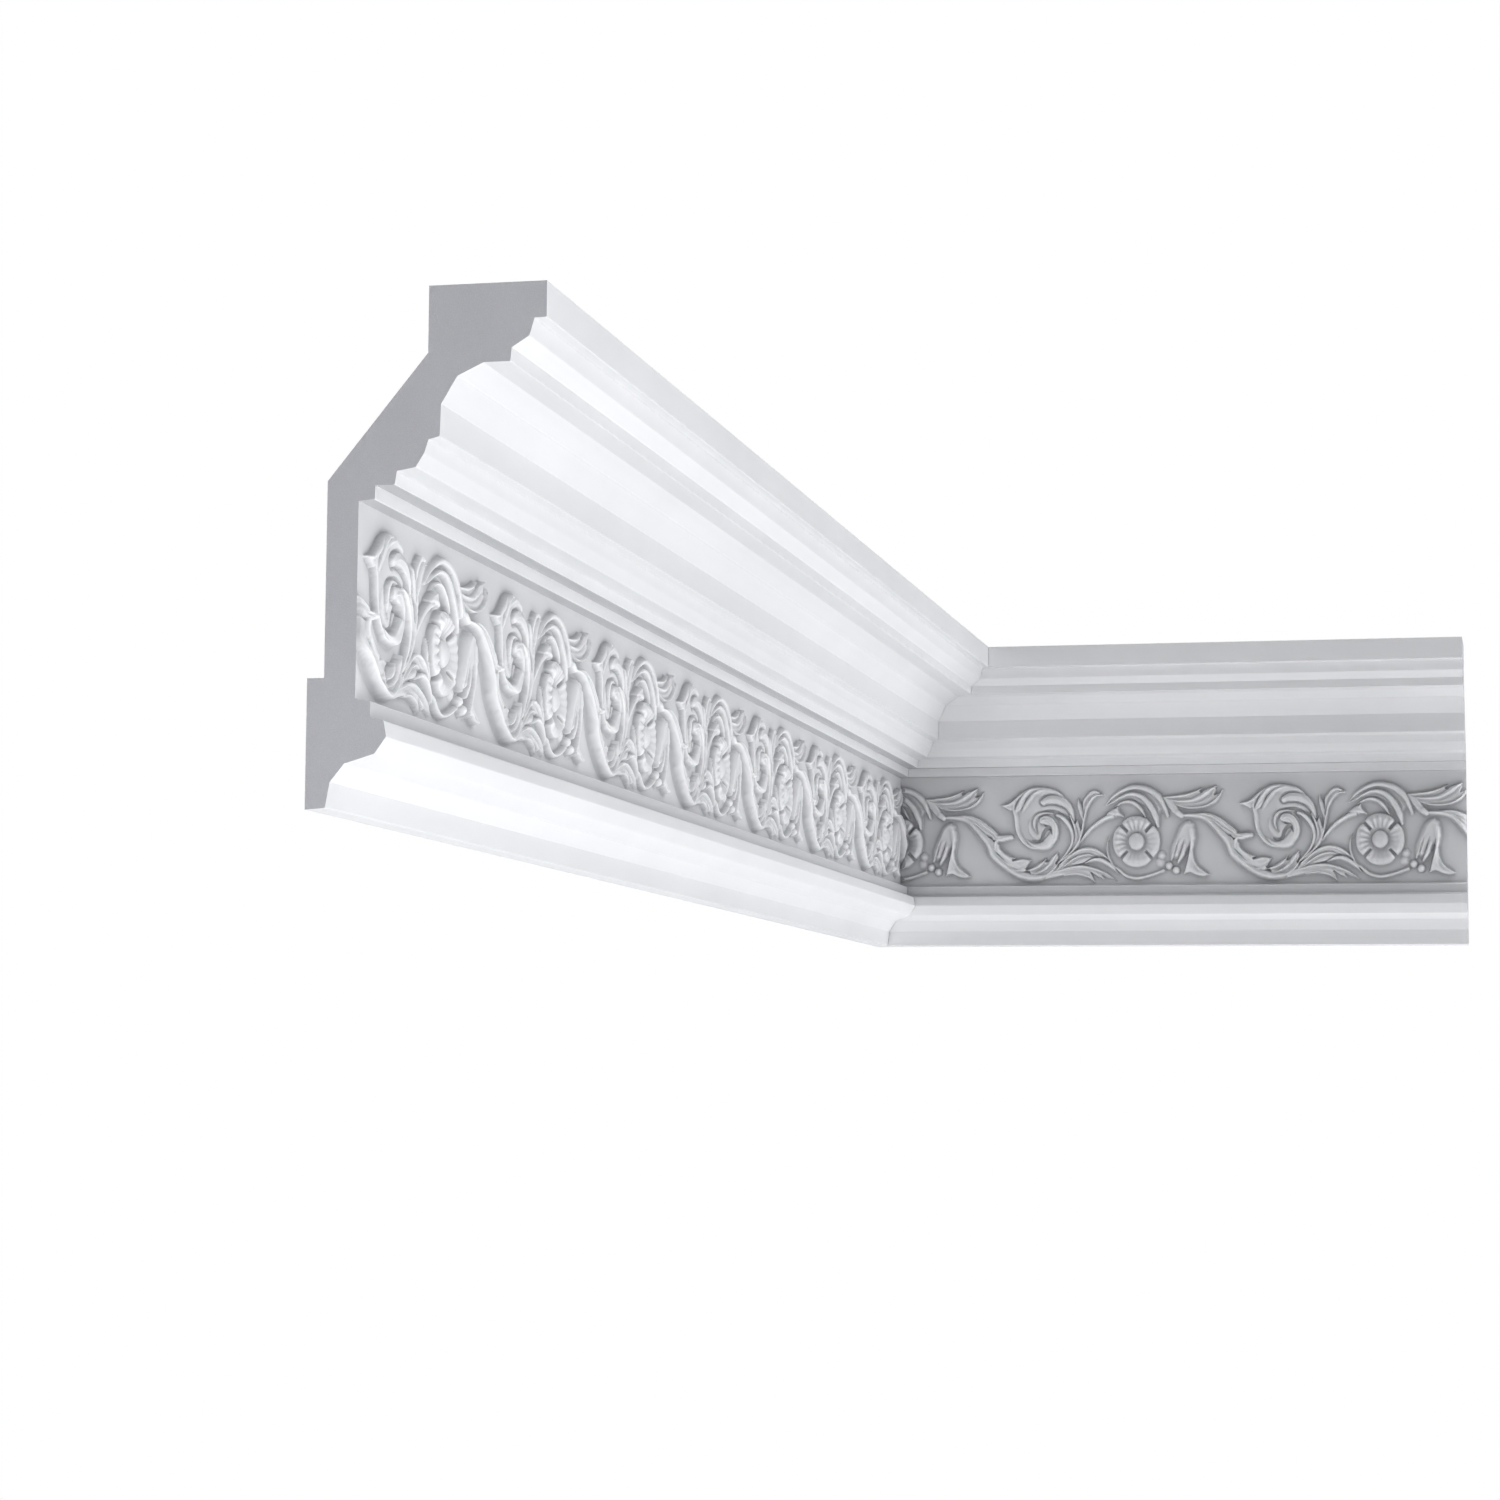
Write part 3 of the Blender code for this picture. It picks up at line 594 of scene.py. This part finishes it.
# %% The jagged leaves on the stem's upper side: three lobes, the lowest the biggest
sheet(
    (((137.5, 62.8), (136, 65.6), (135.5, 68.8)), ((140, 66.3), (143.8, 64.7), (145.3, 64.5),
    (147.1, 62.1), (148, 59.4), (150.4, 57), (153.6, 55)), ((157.3, 54.1), (155.6, 52.5)), ((161.3, 53.6),
    (166.7, 52.8)), ((165.8, 50.1), (163.6, 47.4), (165.5, 46.3)), ((160.4, 44.5), (152.2, 49.2),
    (145.8, 55.6), (138.5, 62.8))), (150, 55.6, 4.3), (155.5, 63, 2.6), 1.2)
stroke(
    ((137.5, 67.4), (141.8, 65), (145.1, 61.2), (147.1, 57.9), (150.9, 55.4), (154.7, 54.1)),
    (2.4, 3, 3, 2.8, 2.4, 0.8), (3.4, 4, 4, 3.7, 3.4, 3), (1.2, 1.6))
stroke(
    ((139.8, 61.6), (143.5, 57), (148.2, 52.5), (153.6, 49.6), (158.5, 49), (162.9, 50.3), (166.4, 52.5)),
    (1.4, 2.2, 2.6, 3, 3.4, 3.6, 1), (3, 4.4, 4.5, 4.2, 3.8, 3.5, 3), (1.1, 1.3), trench=0.4)
stroke(
    ((150, 49), (154.5, 46.7), (159.1, 45.9), (162.7, 47.8), (164.5, 49.9)), (1.2, 2, 2.4, 2.6, 1),
    (2.6, 4.3, 4.2, 3.8, 3.2), (0.9, 1.2), trench=0.4)

# %% The leaf that turns back from the stem, with three ridges and a curled tip
stroke(
    ((119.1, 79.9), (126.4, 78.8), (132.7, 75.9), (138.4, 71.6), (143.3, 68.1), (144.5, 66.3),
    (148.2, 65.9), (151.6, 66.5), (154.2, 66.7)), (1.2, 3.4, 5.2, 6.4, 6.8, 6.2, 4.8, 4.4, 3.4),
    (2.8, 3.9, 4.4, 4.7, 4.9, 4.9, 4.8, 4.8, 4.4), (0.9, 0.8), 0.2, flutes=3, cut=0.2)
stroke(((149.6, 65.9), (151.6, 66.1), (153.5, 66.5)), (3, 3.8, 3), (4.8, 5.2, 4.6), (1, 1), 0.6)
stroke(
    ((146.4, 65.6), (144.9, 63.6), (144.4, 60.5), (145.8, 57.4)), (2.2, 3.2, 3, 1.2), (4.2, 5, 5, 4.6),
    (0.9, 0.9), 0.5)

# %% The fluted leaves under the scroll
sheet(
    (((164.2, 46.7), (167.8, 48.5), (171.3, 50.8), (176, 53.6)), ((175.8, 51.8), (176.9, 51.9)),
    ((179.6, 55), (183.1, 57.2)), ((183.6, 53.8), (182.2, 50.1), (183.8, 50.3)), ((182.2, 45.6),
    (174.9, 41), (167.6, 41.9), (164.2, 46.7))), (165, 45, 2.8), (181, 56, 2.7), 0.9)
stroke(
    ((164.5, 46.1), (169.5, 47.4), (173.3, 49.9), (175.8, 53.2)), (1.4, 2.4, 2.6, 0.9),
    (3.4, 3.7, 3.6, 3), (0.7, 1), trench=0.7)
stroke(
    ((167.3, 43.6), (173.1, 45.6), (177.3, 48.8), (180.2, 52.8), (182.9, 56.8)), (1.4, 2.4, 3, 3.4, 1),
    (3.4, 3.7, 3.7, 3.7, 3.2), (0.8, 1), flutes=2, cut=0.12, trench=0.8)
stroke(
    ((171.3, 41.4), (176.9, 43.6), (180.7, 46.8), (183.3, 50.5)), (1.4, 2.2, 2.6, 1.4),
    (3.3, 3.4, 3.3, 3), (0.8, 1), trench=0.6)
print("stem and frond, highest", round(panel.max(), 2), "mm")

# %% [markdown]
# ### The bell flower
#
# A drooping flower with long petals that flare at the mouth.

# %% Bell flower
sheet(
    (((117.3, 76.8), (120.4, 74.2), (120.9, 69.2), (120.3, 64.7), (118.9, 60.1)), ((116.5, 56),
    (114.2, 51.9), (111.5, 49.9), (109.6, 50.3)), ((108.2, 51.6), (106.4, 51.6), (104.4, 52.8)),
    ((104.2, 58.3), (106, 63.8), (108.2, 69.2), (110.5, 73.8), (114, 76.5), (117.3, 76.8))),
    (118, 72, 4.2), (107, 54, 3.6), 3.6)
stroke(
    ((116.7, 74.7), (117.8, 69.2), (118.4, 64.7), (118.2, 60.1)), (4, 7, 6.4, 3.6), (2.8, 4.7, 4.8, 4.2),
    (2.6, 2), 0.6)

# %% Petals of its mouth: at the left, in the middle, and the one that flares to the right
stroke(
    ((111.3, 66.5), (109.1, 61), (107, 56), (105.8, 52.3)), (1.2, 3.2, 3.8, 2.2), (1.2, 2.6, 3.2, 3),
    (1, 1.8))
stroke(
    ((115.1, 65.6), (113.6, 59.2), (111.8, 54.1), (110, 50.5)), (2, 4.2, 4.6, 2.4), (2.8, 4, 4, 3.4),
    (1, 1), 0.5, trench=0.5)
sheet(
    (((118.2, 62.8), (116.5, 55.6), (114.7, 48.8), (112.7, 42.8)), ((117.3, 43.8), (121.1, 42.1),
    (125.5, 41.4), (129.8, 42.8)), ((125.6, 45.2), (121.6, 48.7), (119.6, 53.2), (119.1, 58.3),
    (118.9, 62.8)), ((118.2, 62.8),)), (117, 60, 3.9), (126, 43, 3.2), 0.9)
stroke(
    ((118.4, 67.4), (118.2, 61), (116.9, 55), (115.5, 49.6), (114, 44.7)), (3, 3.4, 2.4, 1.8, 1),
    (4, 4.6, 4.5, 4.3, 3.6), (0.8, 1), 0.5)
carve(
    ((118.5, 54.7), (118.9, 51), (120, 47.8), (122.5, 45.2), (125.6, 43.6)), (1.6, 3, 4.6, 4.4, 2.4),
    (0.4, 1, 1.4, 1.1, 0.4))
carve(
    ((116.7, 60.1), (115.7, 54.7), (114.3, 49.9), (112.4, 44.8)), (0.6, 1.1, 1.5, 1.7),
    (0.4, 1.7, 2.4, 2.4))
carve(
    ((110.7, 65), (109.1, 59.8), (107.6, 54.7), (106.9, 51.2)), (0.8, 1.5, 1.7, 1.4), (0.3, 1, 1.2, 0.9))
carve(
    ((113.8, 64.5), (112, 58.3), (110, 53.2), (108.5, 50.7)), (0.8, 1.5, 1.7, 1.4), (0.3, 0.9, 1.1, 0.9))
print("bell, highest", round(panel.max(), 2), "mm")

# %% [markdown]
# ## One repeat
#
# The parts of the panel that lie outside one repeat are folded back into it. Then it is measured how deep
# each point lies: the average height round it, less its own. It is done twice, for the thin creases and
# for the wider hollows. The primer is painted greyer there as painted shade, everything but the crests gets
# a little painted shade too, so that the crests read as painted highlights, and the ground is cut slightly
# deeper beside the leaves, as a carver sets them off.

# %% Fold the panel and measure its recesses
CREASE, HOLLOW = 1.2, 3.2
CREASE_DEPTH, HOLLOW_DEPTH = 0.9, 2.4
CREASE_SHARE, HOLLOW_SHARE = 0.6, 0.6
GROUND_SHADE = 0.46
SET_OFF = 0.35
BORDER = 2.0

tile = np.zeros((BAND_ROWS, COLUMNS))
for column, home in enumerate(np.rint(along / CELL).astype(int) % COLUMNS):
    tile[:, home] = np.maximum(tile[:, home], panel[:, column])


def averaged(heights, reach):
    """The heights averaged over their neighbours. The left side goes on at the right side."""
    steps = round(reach / CELL)
    far = 2 * steps
    weights = np.exp(-0.5 * (np.arange(-far, far + 1) / steps) ** 2)
    weights /= weights.sum()
    padded = np.pad(heights, ((far, far), (0, 0)), mode="edge")
    padded = sum(w * padded[k : k + len(heights)] for k, w in enumerate(weights))
    return sum(w * np.roll(padded, k - far, 1) for k, w in enumerate(weights))


creases = (averaged(tile, CREASE) - tile) / CREASE_DEPTH
hollows = (averaged(tile, HOLLOW) - tile) / HOLLOW_DEPTH
recess = CREASE_SHARE * np.clip(creases, 0, 1) + HOLLOW_SHARE * np.clip(hollows, 0, 1)
off_border = ease(np.minimum(upward - BAND_LOW, BAND_HIGH - upward) / BORDER)[:, None]
tile = tile - SET_OFF * np.minimum(recess, 1) * off_border
# painted shade on all but the crests, so that the crests read as painted highlights
crests = np.clip(-creases, 0, 1)
recess = np.clip(recess + GROUND_SHADE * (1 - crests), 0, 1)
repeat = np.concatenate([tile, tile[:, :1]], 1)
print("deepest recess", round(float(recess.max()), 2), "mean", round(float(recess.mean()), 3))

# %% [markdown]
# ## One repeat as a mesh
#
# Every cell of the grid would make two triangles, 160,000 in all, and most of them would lie on the flat
# ground. Blender's Decimate joins cells where the surface is flat and keeps them where it bends. The two
# side columns are left alone, so that one repeat joins the next without a gap.

# %% A fine grid in the run frame
rows, columns = repeat.shape
x, z = np.meshgrid(np.arange(columns) * CELL, upward)
places = np.stack([x, -BAND_DEPTH - repeat, z], -1).reshape(-1, 3)
corner = (np.arange(rows - 1)[:, None] * columns + np.arange(columns - 1)).ravel()
faces = np.stack([corner, corner + 1, corner + columns + 1, corner + columns], 1)
fine = bpy.data.meshes.new("repeat_fine")
fine.from_pydata(places.tolist(), [], faces.tolist())
print("points in the grid", len(fine.vertices))

# %% Thin it out
REPEAT_TRIANGLES = 26000

first_column = np.arange(rows) * columns
sides = np.concatenate([first_column, first_column + columns - 1])
to_thin = bpy.data.objects.new("to_thin", fine)
scene.collection.objects.link(to_thin)
free = to_thin.vertex_groups.new(name="free")
free.add(np.setdiff1d(np.arange(len(fine.vertices)), sides).tolist(), 1.0, "REPLACE")
decimate = to_thin.modifiers.new("thin", "DECIMATE")
decimate.ratio = REPEAT_TRIANGLES / (2 * len(fine.polygons))
decimate.vertex_group = "free"
decimate.use_collapse_triangulate = True
graph = bpy.context.evaluated_depsgraph_get()
thin = bpy.data.meshes.new_from_object(to_thin.evaluated_get(graph))
bpy.data.objects.remove(to_thin)
tile_points = np.array([v.co for v in thin.vertices])
tile_faces = np.array([f.vertices[:] for f in thin.polygons])
print("triangles in one repeat", len(tile_faces), "of", 2 * len(fine.polygons))

# %% [markdown]
# ## A whole length
#
# The repeats are joined side by side, each on the last column of the one before it, until they cover
# the run.

# %% Join the repeats
SLACK = 0.001


def band_of_repeats(run, tip):
    """Vertices and faces of enough repeats to cover the run."""
    left = np.flatnonzero(tile_points[:, 0] < SLACK)
    right = np.flatnonzero(tile_points[:, 0] > REPEAT - SLACK)
    left = left[np.argsort(tile_points[left, 2])]
    right = right[np.argsort(tile_points[right, 2])]
    assert len(left) == len(right) == BAND_ROWS
    inner = np.setdiff1d(np.arange(len(tile_points)), left)
    first, last = math.floor(-tip / REPEAT), math.ceil((run - tip) / REPEAT)
    points, faces, previous, count = [], [], None, 0
    for k in range(first, last):
        used = np.arange(len(tile_points)) if previous is None else inner
        index = np.empty(len(tile_points), int)
        index[used] = count + np.arange(len(used))
        if previous is not None:
            index[left] = previous[right]
        points.append(tile_points[used] + (tip + k * REPEAT, 0, 0))
        faces.append(index[tile_faces])
        previous, count = index, count + len(used)
    return np.concatenate(points), np.concatenate(faces)


# %% [markdown]
# The band is cut off at both ends, square or at the mitre. At a square end the carving dies away over
# the last millimetres, as on the casting, whose cut end is a clean outline. The steps are
# closer together near the end, where the heights change fastest.

# %% Cut and close the band
WELD = 1e-5
MITRE_GAP = 0.08
SIDEWAYS = MITRE_GAP / math.sqrt(2)
FADE = 5.0
FADE_STEPS = (0.04, 0.12, 0.24, 0.4, 0.6, 0.8, 1.0)


def slice_band(bm, place, inward, clear):
    """Cuts the band with a plane, and clears what lies behind it if asked to."""
    bmesh.ops.bisect_plane(
        bm,
        geom=bm.verts[:] + bm.edges[:] + bm.faces[:],
        dist=WELD,
        plane_co=place,
        plane_no=inward,
        clear_inner=clear,
    )


def cut_band(bm, start_slope, end_slope, run):
    """Cuts the band at both ends and returns its lower and upper border, each in order."""
    slice_band(bm, (SIDEWAYS * start_slope, 0, 0), (1, start_slope, 0), True)
    slice_band(bm, (run - SIDEWAYS * end_slope, 0, 0), (-1, end_slope, 0), True)
    for end, inward, slope in ((0, 1, start_slope), (run, -1, end_slope)):
        if slope:
            continue
        for share in FADE_STEPS:
            slice_band(bm, (end + inward * FADE * share, 0, 0), (1, 0, 0), False)
        for v in bm.verts:
            into = np.clip((v.co.x - end) * inward / FADE, 0, 1)
            low = float(np.sqrt(1 - (1 - into) ** 2))
            v.co.y = -BAND_DEPTH + (v.co.y + BAND_DEPTH) * low
    lower = sorted((v for v in bm.verts if v.co.z < BAND_LOW + SLACK), key=lambda v: v.co.x)
    upper = sorted((v for v in bm.verts if v.co.z > BAND_HIGH - SLACK), key=lambda v: v.co.x)
    return lower, upper


def close_ends(bm):
    """Fills the rims at both ends with triangles, as the mitre's face can have islands of carving."""
    rims = [e for e in bm.edges if len(e.link_faces) == 1]
    made = bmesh.ops.triangle_fill(bm, use_beauty=True, edges=rims)["geom"]
    caps = [f for f in made if isinstance(f, bmesh.types.BMFace)]
    for face in caps:
        face.material_index = 1
        face.smooth = False
    for edge in rims:
        edge.smooth = False


# %% [markdown]
# Each face corner is marked with how much painted shade it gets. On the carving that is the recess measured
# above. The narrow ledges over and under the frieze get painted shade too: the table gives the
# heights between which the middle of such a face lies, and its mark. The other plain faces get an even
# mark.

# %% Mark where shade is painted
PLAIN_SHADE = 0.28
LEDGE_SHADE = ((BAND_HIGH, 104.6, 0.84), (109.2, 109.5, 0.84), (30.2, 30.6, 0.55), (32.0, 35.0, 0.62))
BEHIND = 1.0


def mark_painted_shade(mesh, tip):
    """Writes to each face corner how much painted shade it gets, from 0 to 1, for the primer to read."""
    places = np.array([v.co for v in mesh.vertices])
    column = np.rint((places[:, 0] - tip) / CELL).astype(int) % COLUMNS
    last = BAND_ROWS - 1
    row = np.rint((places[:, 2] - BAND_LOW) / (BAND_HIGH - BAND_LOW) * last).astype(int)
    depth = recess[np.clip(row, 0, last), column]
    middles = np.array([face.center for face in mesh.polygons])
    front = middles[:, 1] < BEHIND - BAND_DEPTH
    carved = front & (middles[:, 2] > BAND_LOW) & (middles[:, 2] < BAND_HIGH)
    plain = np.full(len(middles), PLAIN_SHADE)
    for low, high, share in LEDGE_SHADE:
        plain[front & (middles[:, 2] > low) & (middles[:, 2] < high)] = share
    face_of = np.repeat(np.arange(len(middles)), [face.loop_total for face in mesh.polygons])
    corners = np.array([loop.vertex_index for loop in mesh.loops])
    # the marks are painted shade: the carving's recess map, the ledges' shares, and an even share elsewhere
    painted_shade = np.where(carved[face_of], depth[corners], plain[face_of])
    shade_marks = mesh.attributes.new("recess", "FLOAT", "CORNER")
    shade_marks.data.foreach_set("value", painted_shade.astype(np.float32))


# %% [markdown]
# Now the plain faces of the section are added to the band: each runs from one end to the other, and
# the two that touch the frieze take up all of its border points, so the mesh is closed.

# %% Build one length
def length_mesh(name, run, tip, start_slope, end_slope):
    """The closed mesh of one length, in its run frame, in millimetres."""
    points, faces = band_of_repeats(run, tip)
    carved = bpy.data.meshes.new(name)
    carved.from_pydata(points.tolist(), [], faces.tolist())
    bm = bmesh.new()
    bm.from_mesh(carved)
    loose = [v for v in bm.verts if not v.link_faces]
    bmesh.ops.delete(bm, geom=loose, context="VERTS")
    lower, upper = cut_band(bm, start_slope, end_slope, run)
    for face in bm.faces:
        face.smooth = True
    starts, finishes = [], []
    for (depth, height), kind in outline:
        if depth == BAND_DEPTH and height in (BAND_LOW, BAND_HIGH):
            border = lower if height == BAND_LOW else upper
            starts.append(border[0])
            finishes.append(border[-1])
            continue
        x_start = start_slope * (depth + SIDEWAYS)
        x_finish = run - end_slope * (depth + SIDEWAYS)
        starts.append(bm.verts.new((x_start, -depth, height)))
        finishes.append(bm.verts.new((x_finish, -depth, height)))
    count = len(outline)
    rails = []
    for start, finish in zip(starts, finishes):
        rails.append(lower if start is lower[0] else upper if start is upper[0] else [start, finish])
    for i in range(count):
        j = (i + 1) % count
        if rails[i] is lower and rails[j] is upper:
            continue
        face = bm.faces.new([*rails[i], *reversed(rails[j])])
        face.smooth = True
        face.material_index = int(i >= count - BACK_FACES)
    for rail, (_, kind) in zip(rails, outline):
        if kind == "edge":
            for a, b in zip(rail[:-1], rail[1:]):
                bm.edges.get((a, b)).smooth = False
    close_ends(bm)
    bmesh.ops.recalc_face_normals(bm, faces=bm.faces)
    open_edges = sum(len(e.link_faces) != 2 for e in bm.edges)
    assert open_edges == 0, f"{name} has {open_edges} open edges"
    bm.to_mesh(carved)
    bm.free()
    mark_painted_shade(carved, tip)
    return carved


# %% [markdown]
# ## Place the lengths
#
# Both lengths are made by the same function. The left one is turned by a right angle, and the back one
# stays as it is. Weighted normals let the big flat faces keep an even shade, while the small
# roundings between them still catch the light.

# %% Make both lengths
LEFT_FIRST_TIP = 4.7
BACK_FIRST_TIP = 79.4


def place(mesh, name, node, matrix):
    mesh.transform(matrix @ Matrix.Scale(MM, 4))
    piece = bpy.data.objects.new(name, mesh)
    scene.collection.objects.link(piece)
    weigh = piece.modifiers.new("even_faces", "WEIGHTED_NORMAL")
    weigh.keep_sharp = True
    mesh.calc_loop_triangles()
    print(name, len(mesh.loop_triangles), "triangles")
    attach(piece, "root")
    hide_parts(node)
    return piece


left_frame = Matrix.Translation((0, left_low.y, left_low.z)) @ Matrix.Rotation(math.pi / 2, 4, "Z")
back_frame = Matrix.Translation((0, back_high.y, back_low.z))
left_mesh = length_mesh("left_casting", LEFT_RUN, LEFT_FIRST_TIP, 0, 1)
back_mesh = length_mesh("back_casting", BACK_RUN, BACK_FIRST_TIP, 1, 0)
left_length = place(left_mesh, "left_casting", "left_wall_length", left_frame)
back_length = place(back_mesh, "back_casting", "back_wall_length", back_frame)

# %% [markdown]
# ## Shader maths as plain sums
#
# A node tree is easier to read as sums. The class below wraps a socket: adding, multiplying or
# subtracting two of them adds the Math node that does it, and any other node is made by one method.

# %% A socket that can be reckoned with
class Wire:
    """A socket of a node tree that takes part in sums."""

    def __init__(self, tree, socket=None):
        self.tree = tree
        self.socket = socket

    def node(self, kind, settings=None, values=None, out=0):
        """Adds a node: its settings first, then its sockets' values or links."""
        made = self.tree.nodes.new("ShaderNode" + kind)
        for name, value in (settings or {}).items():
            setattr(made, name, value)
        for name, value in (values or {}).items():
            if isinstance(value, Wire):
                self.tree.links.new(value.socket, made.inputs[name])
            else:
                made.inputs[name].default_value = value
        return Wire(self.tree, made.outputs[out])

    def sum(self, operation, first, second):
        return self.node("Math", {"operation": operation}, {0: first, 1: second})

    def __add__(self, other):
        return self.sum("ADD", self, other)

    def __radd__(self, other):
        return self.sum("ADD", other, self)

    def __sub__(self, other):
        return self.sum("SUBTRACT", self, other)

    def __rsub__(self, other):
        return self.sum("SUBTRACT", other, self)

    def __mul__(self, other):
        return self.sum("MULTIPLY", self, other)

    def __rmul__(self, other):
        return self.sum("MULTIPLY", other, self)

    def power(self, other):
        return self.sum("POWER", self, other)


def new_material(name):
    """An empty material and the wire that adds nodes to it."""
    material = bpy.data.materials.new(name)
    material.use_nodes = True
    material.node_tree.nodes.clear()
    return material, Wire(material.node_tree)


def finish_material(wire, fixed, varying):
    """The Principled shader with its fixed numbers and its varying inputs, and the output."""
    shader = wire.node("BsdfPrincipled", None, {**fixed, **varying})
    end = wire.tree.nodes.new("ShaderNodeOutputMaterial")
    wire.tree.links.new(shader.socket, end.inputs["Surface"])


def noise(wire, place, scale, detail=2.0):
    return wire.node("TexNoise", None, {"Vector": place, "Scale": scale, "Detail": detail})


def blend(wire, share, first, second):
    """The first colour turned into the second by a share."""
    return wire.node("Mix", {"data_type": "RGBA"}, {0: share, 6: first, 7: second}, 2)


# %% [markdown]
# ## White primer
#
# The maker sprays the casting with a matt white primer. It has a hint of orange peel, the fine dimples
# that a spray gun leaves, and slight changes of sheen where it went on thicker. Where the marks on
# the mesh ask for it, the primer is painted greyer as painted shade: most in the carving's creases and
# hollows and on the narrow ledges, less on the plain faces, least on the carving's crests, which read as
# painted highlights.

# %% Primer
PRIMER_THIN = (0.85, 0.85, 0.86, 1)
PRIMER_THICK = (0.90, 0.90, 0.905, 1)
PAINTED_SHADE_GREY = (0.395, 0.40, 0.415, 1)
PAINTED_SHADE_SHARE = 0.6

white, wire = new_material("white_primer")
spot = wire.node("TexCoord", out="Object")
dimples = noise(wire, spot, 900.0)
clouds = noise(wire, spot, 14.0, 3.0)
shade_marks = wire.node("Attribute", {"attribute_name": "recess"}, out="Fac")
coat = blend(wire, clouds, PRIMER_THIN, PRIMER_THICK)
# painted shade: where marked, the coat is turned towards a grey
colour = blend(wire, PAINTED_SHADE_SHARE * shade_marks, coat, PAINTED_SHADE_GREY)
peel = wire.node("Bump", None, {"Strength": 0.12, "Distance": 0.0002, "Height": dimples})
varying = {"Base Color": colour, "Roughness": 0.46 + 0.12 * clouds, "Normal": peel}
finish_material(wire, {"IOR": 1.46, "Specular IOR Level": 0.4}, varying)
print(white.name, "has", len(wire.tree.nodes), "nodes")

# %% [markdown]
# ## Sawn foam
#
# Where the length was cut, and on its back, the bare foam shows: light grey, matt and full of tiny cells.
# A Voronoi texture gives the cells, and a soft noise the places where the foam is denser.

# %% Foam
FOAM_DENSE = (0.64, 0.64, 0.665, 1)
FOAM_LIGHT = (0.73, 0.73, 0.755, 1)

grey, wire = new_material("sawn_foam")
spot = wire.node("TexCoord", out="Object")
cells = wire.node("TexVoronoi", None, {"Vector": spot, "Scale": 2600.0})
clouds = noise(wire, spot, 40.0, 3.0)
colour = blend(wire, 0.6 * cells + 0.4 * clouds, FOAM_DENSE, FOAM_LIGHT)
pits = wire.node("Bump", None, {"Strength": 0.25, "Distance": 0.0002, "Height": cells})
varying = {"Base Color": colour, "Roughness": 0.85 + 0.1 * clouds, "Normal": pits}
finish_material(wire, {"Specular IOR Level": 0.25}, varying)
for piece in (left_length, back_length):
    piece.data.materials.append(white)
    piece.data.materials.append(grey)
print(grey.name, "has", len(wire.tree.nodes), "nodes")

# %% [markdown]
# ## Floor and light
#
# The floor is a pale disc well below the moulding, out of the picture. Four soft panels light the moulding
# from below, from the front, the right, the left and the back. All of them aim at its middle, and the
# camera doesn't see them.

# %% Floor
FLOOR_DROP = 0.95
FLOOR_RADIUS = 3.6
FLOOR_MIDDLE = 0.2
PALE = (0.82, 0.82, 0.82, 1)

bm = bmesh.new()
bmesh.ops.create_circle(bm, cap_ends=True, segments=96, radius=FLOOR_RADIUS)
mesh = bpy.data.meshes.new("floor")
bm.to_mesh(mesh)
bm.free()
piece = bpy.data.objects.new("floor", mesh)
piece.location = (FLOOR_MIDDLE, 0, left_low.z - FLOOR_DROP)
scene.collection.objects.link(piece)
material, wire = new_material("pale_floor")
spot = wire.node("TexCoord", out="Object")
finish_material(wire, {"Base Color": PALE}, {"Roughness": 0.8 + 0.1 * noise(wire, spot, 3.0)})
mesh.materials.append(material)
print("floor at", round(piece.location.z, 2), "m")

# %% Lights
AIM = Vector((0.12, 0.1, 0.08))


def soft_panel(name, place, size, watts):
    light = bpy.data.lights.new(name, "AREA")
    light.shape = "DISK"
    light.size = size
    light.energy = watts
    piece = bpy.data.objects.new(name, light)
    piece.location = place
    piece.rotation_euler = (AIM - Vector(place)).to_track_quat("-Z", "Y").to_euler()
    piece.visible_camera = False
    scene.collection.objects.link(piece)


soft_panel("front_panel", (0.5, -1.0, -0.45), 0.8, 2.8)
soft_panel("right_low_panel", (1.1, 0.25, -0.8), 0.6, 1.3)
soft_panel("left_low_panel", (-0.3, -0.2, -0.7), 0.6, 1.0)
soft_panel("back_low_panel", (0.3, 0.9, -0.7), 0.6, 1.3)
print("panels", len(bpy.data.lights))

# %% [markdown]
# Most of the light comes from the surroundings: an even part, a glow from the right and a glow from
# above, because the photograph's moulding is brightest on faces that look to the right and down, and
# its upper rounds are lit too. Each glow is a dot product to a power: strongest where one looks its
# way. The camera sees plain white. The view's gamma is below 1, for the photograph's soft greys.

# %% The room's white surroundings
AMBIENT = 0.235
RIGHT_WAY = (0.985, 0.0, -0.174)
RIGHT_GLOW = 2.45
UPPER_WAY = (0.062, -0.062, 0.996)
UPPER_GLOW = 3.1
GLOW_FOCUS = 6.0
CONTRAST_GAMMA = 0.65
COOL = (0.98, 0.988, 1.0, 1)
WHITE = (1.0, 1.0, 1.0, 1)

world = bpy.data.worlds.new("white_room")
world.use_nodes = True
world.node_tree.nodes.clear()
room = Wire(world.node_tree)
way = room.node("TexCoord", out="Generated")
light = AMBIENT
for aim, glow in ((RIGHT_WAY, RIGHT_GLOW), (UPPER_WAY, UPPER_GLOW)):
    facing = room.node("VectorMath", {"operation": "DOT_PRODUCT"}, {0: way, 1: aim}, "Value")
    light = light + glow * facing.sum("MAXIMUM", facing, 0.0).power(GLOW_FOCUS)
seen = room.node("LightPath", out="Is Camera Ray")
tint = blend(room, seen, COOL, WHITE)
air = room.node("Background", None, {"Color": tint, "Strength": seen + (1.0 - seen) * light})
end = world.node_tree.nodes.new("ShaderNodeOutputWorld")
world.node_tree.links.new(air.socket, end.inputs["Surface"])
scene.world = world
scene.view_settings.view_transform = "Standard"
scene.view_settings.gamma = CONTRAST_GAMMA
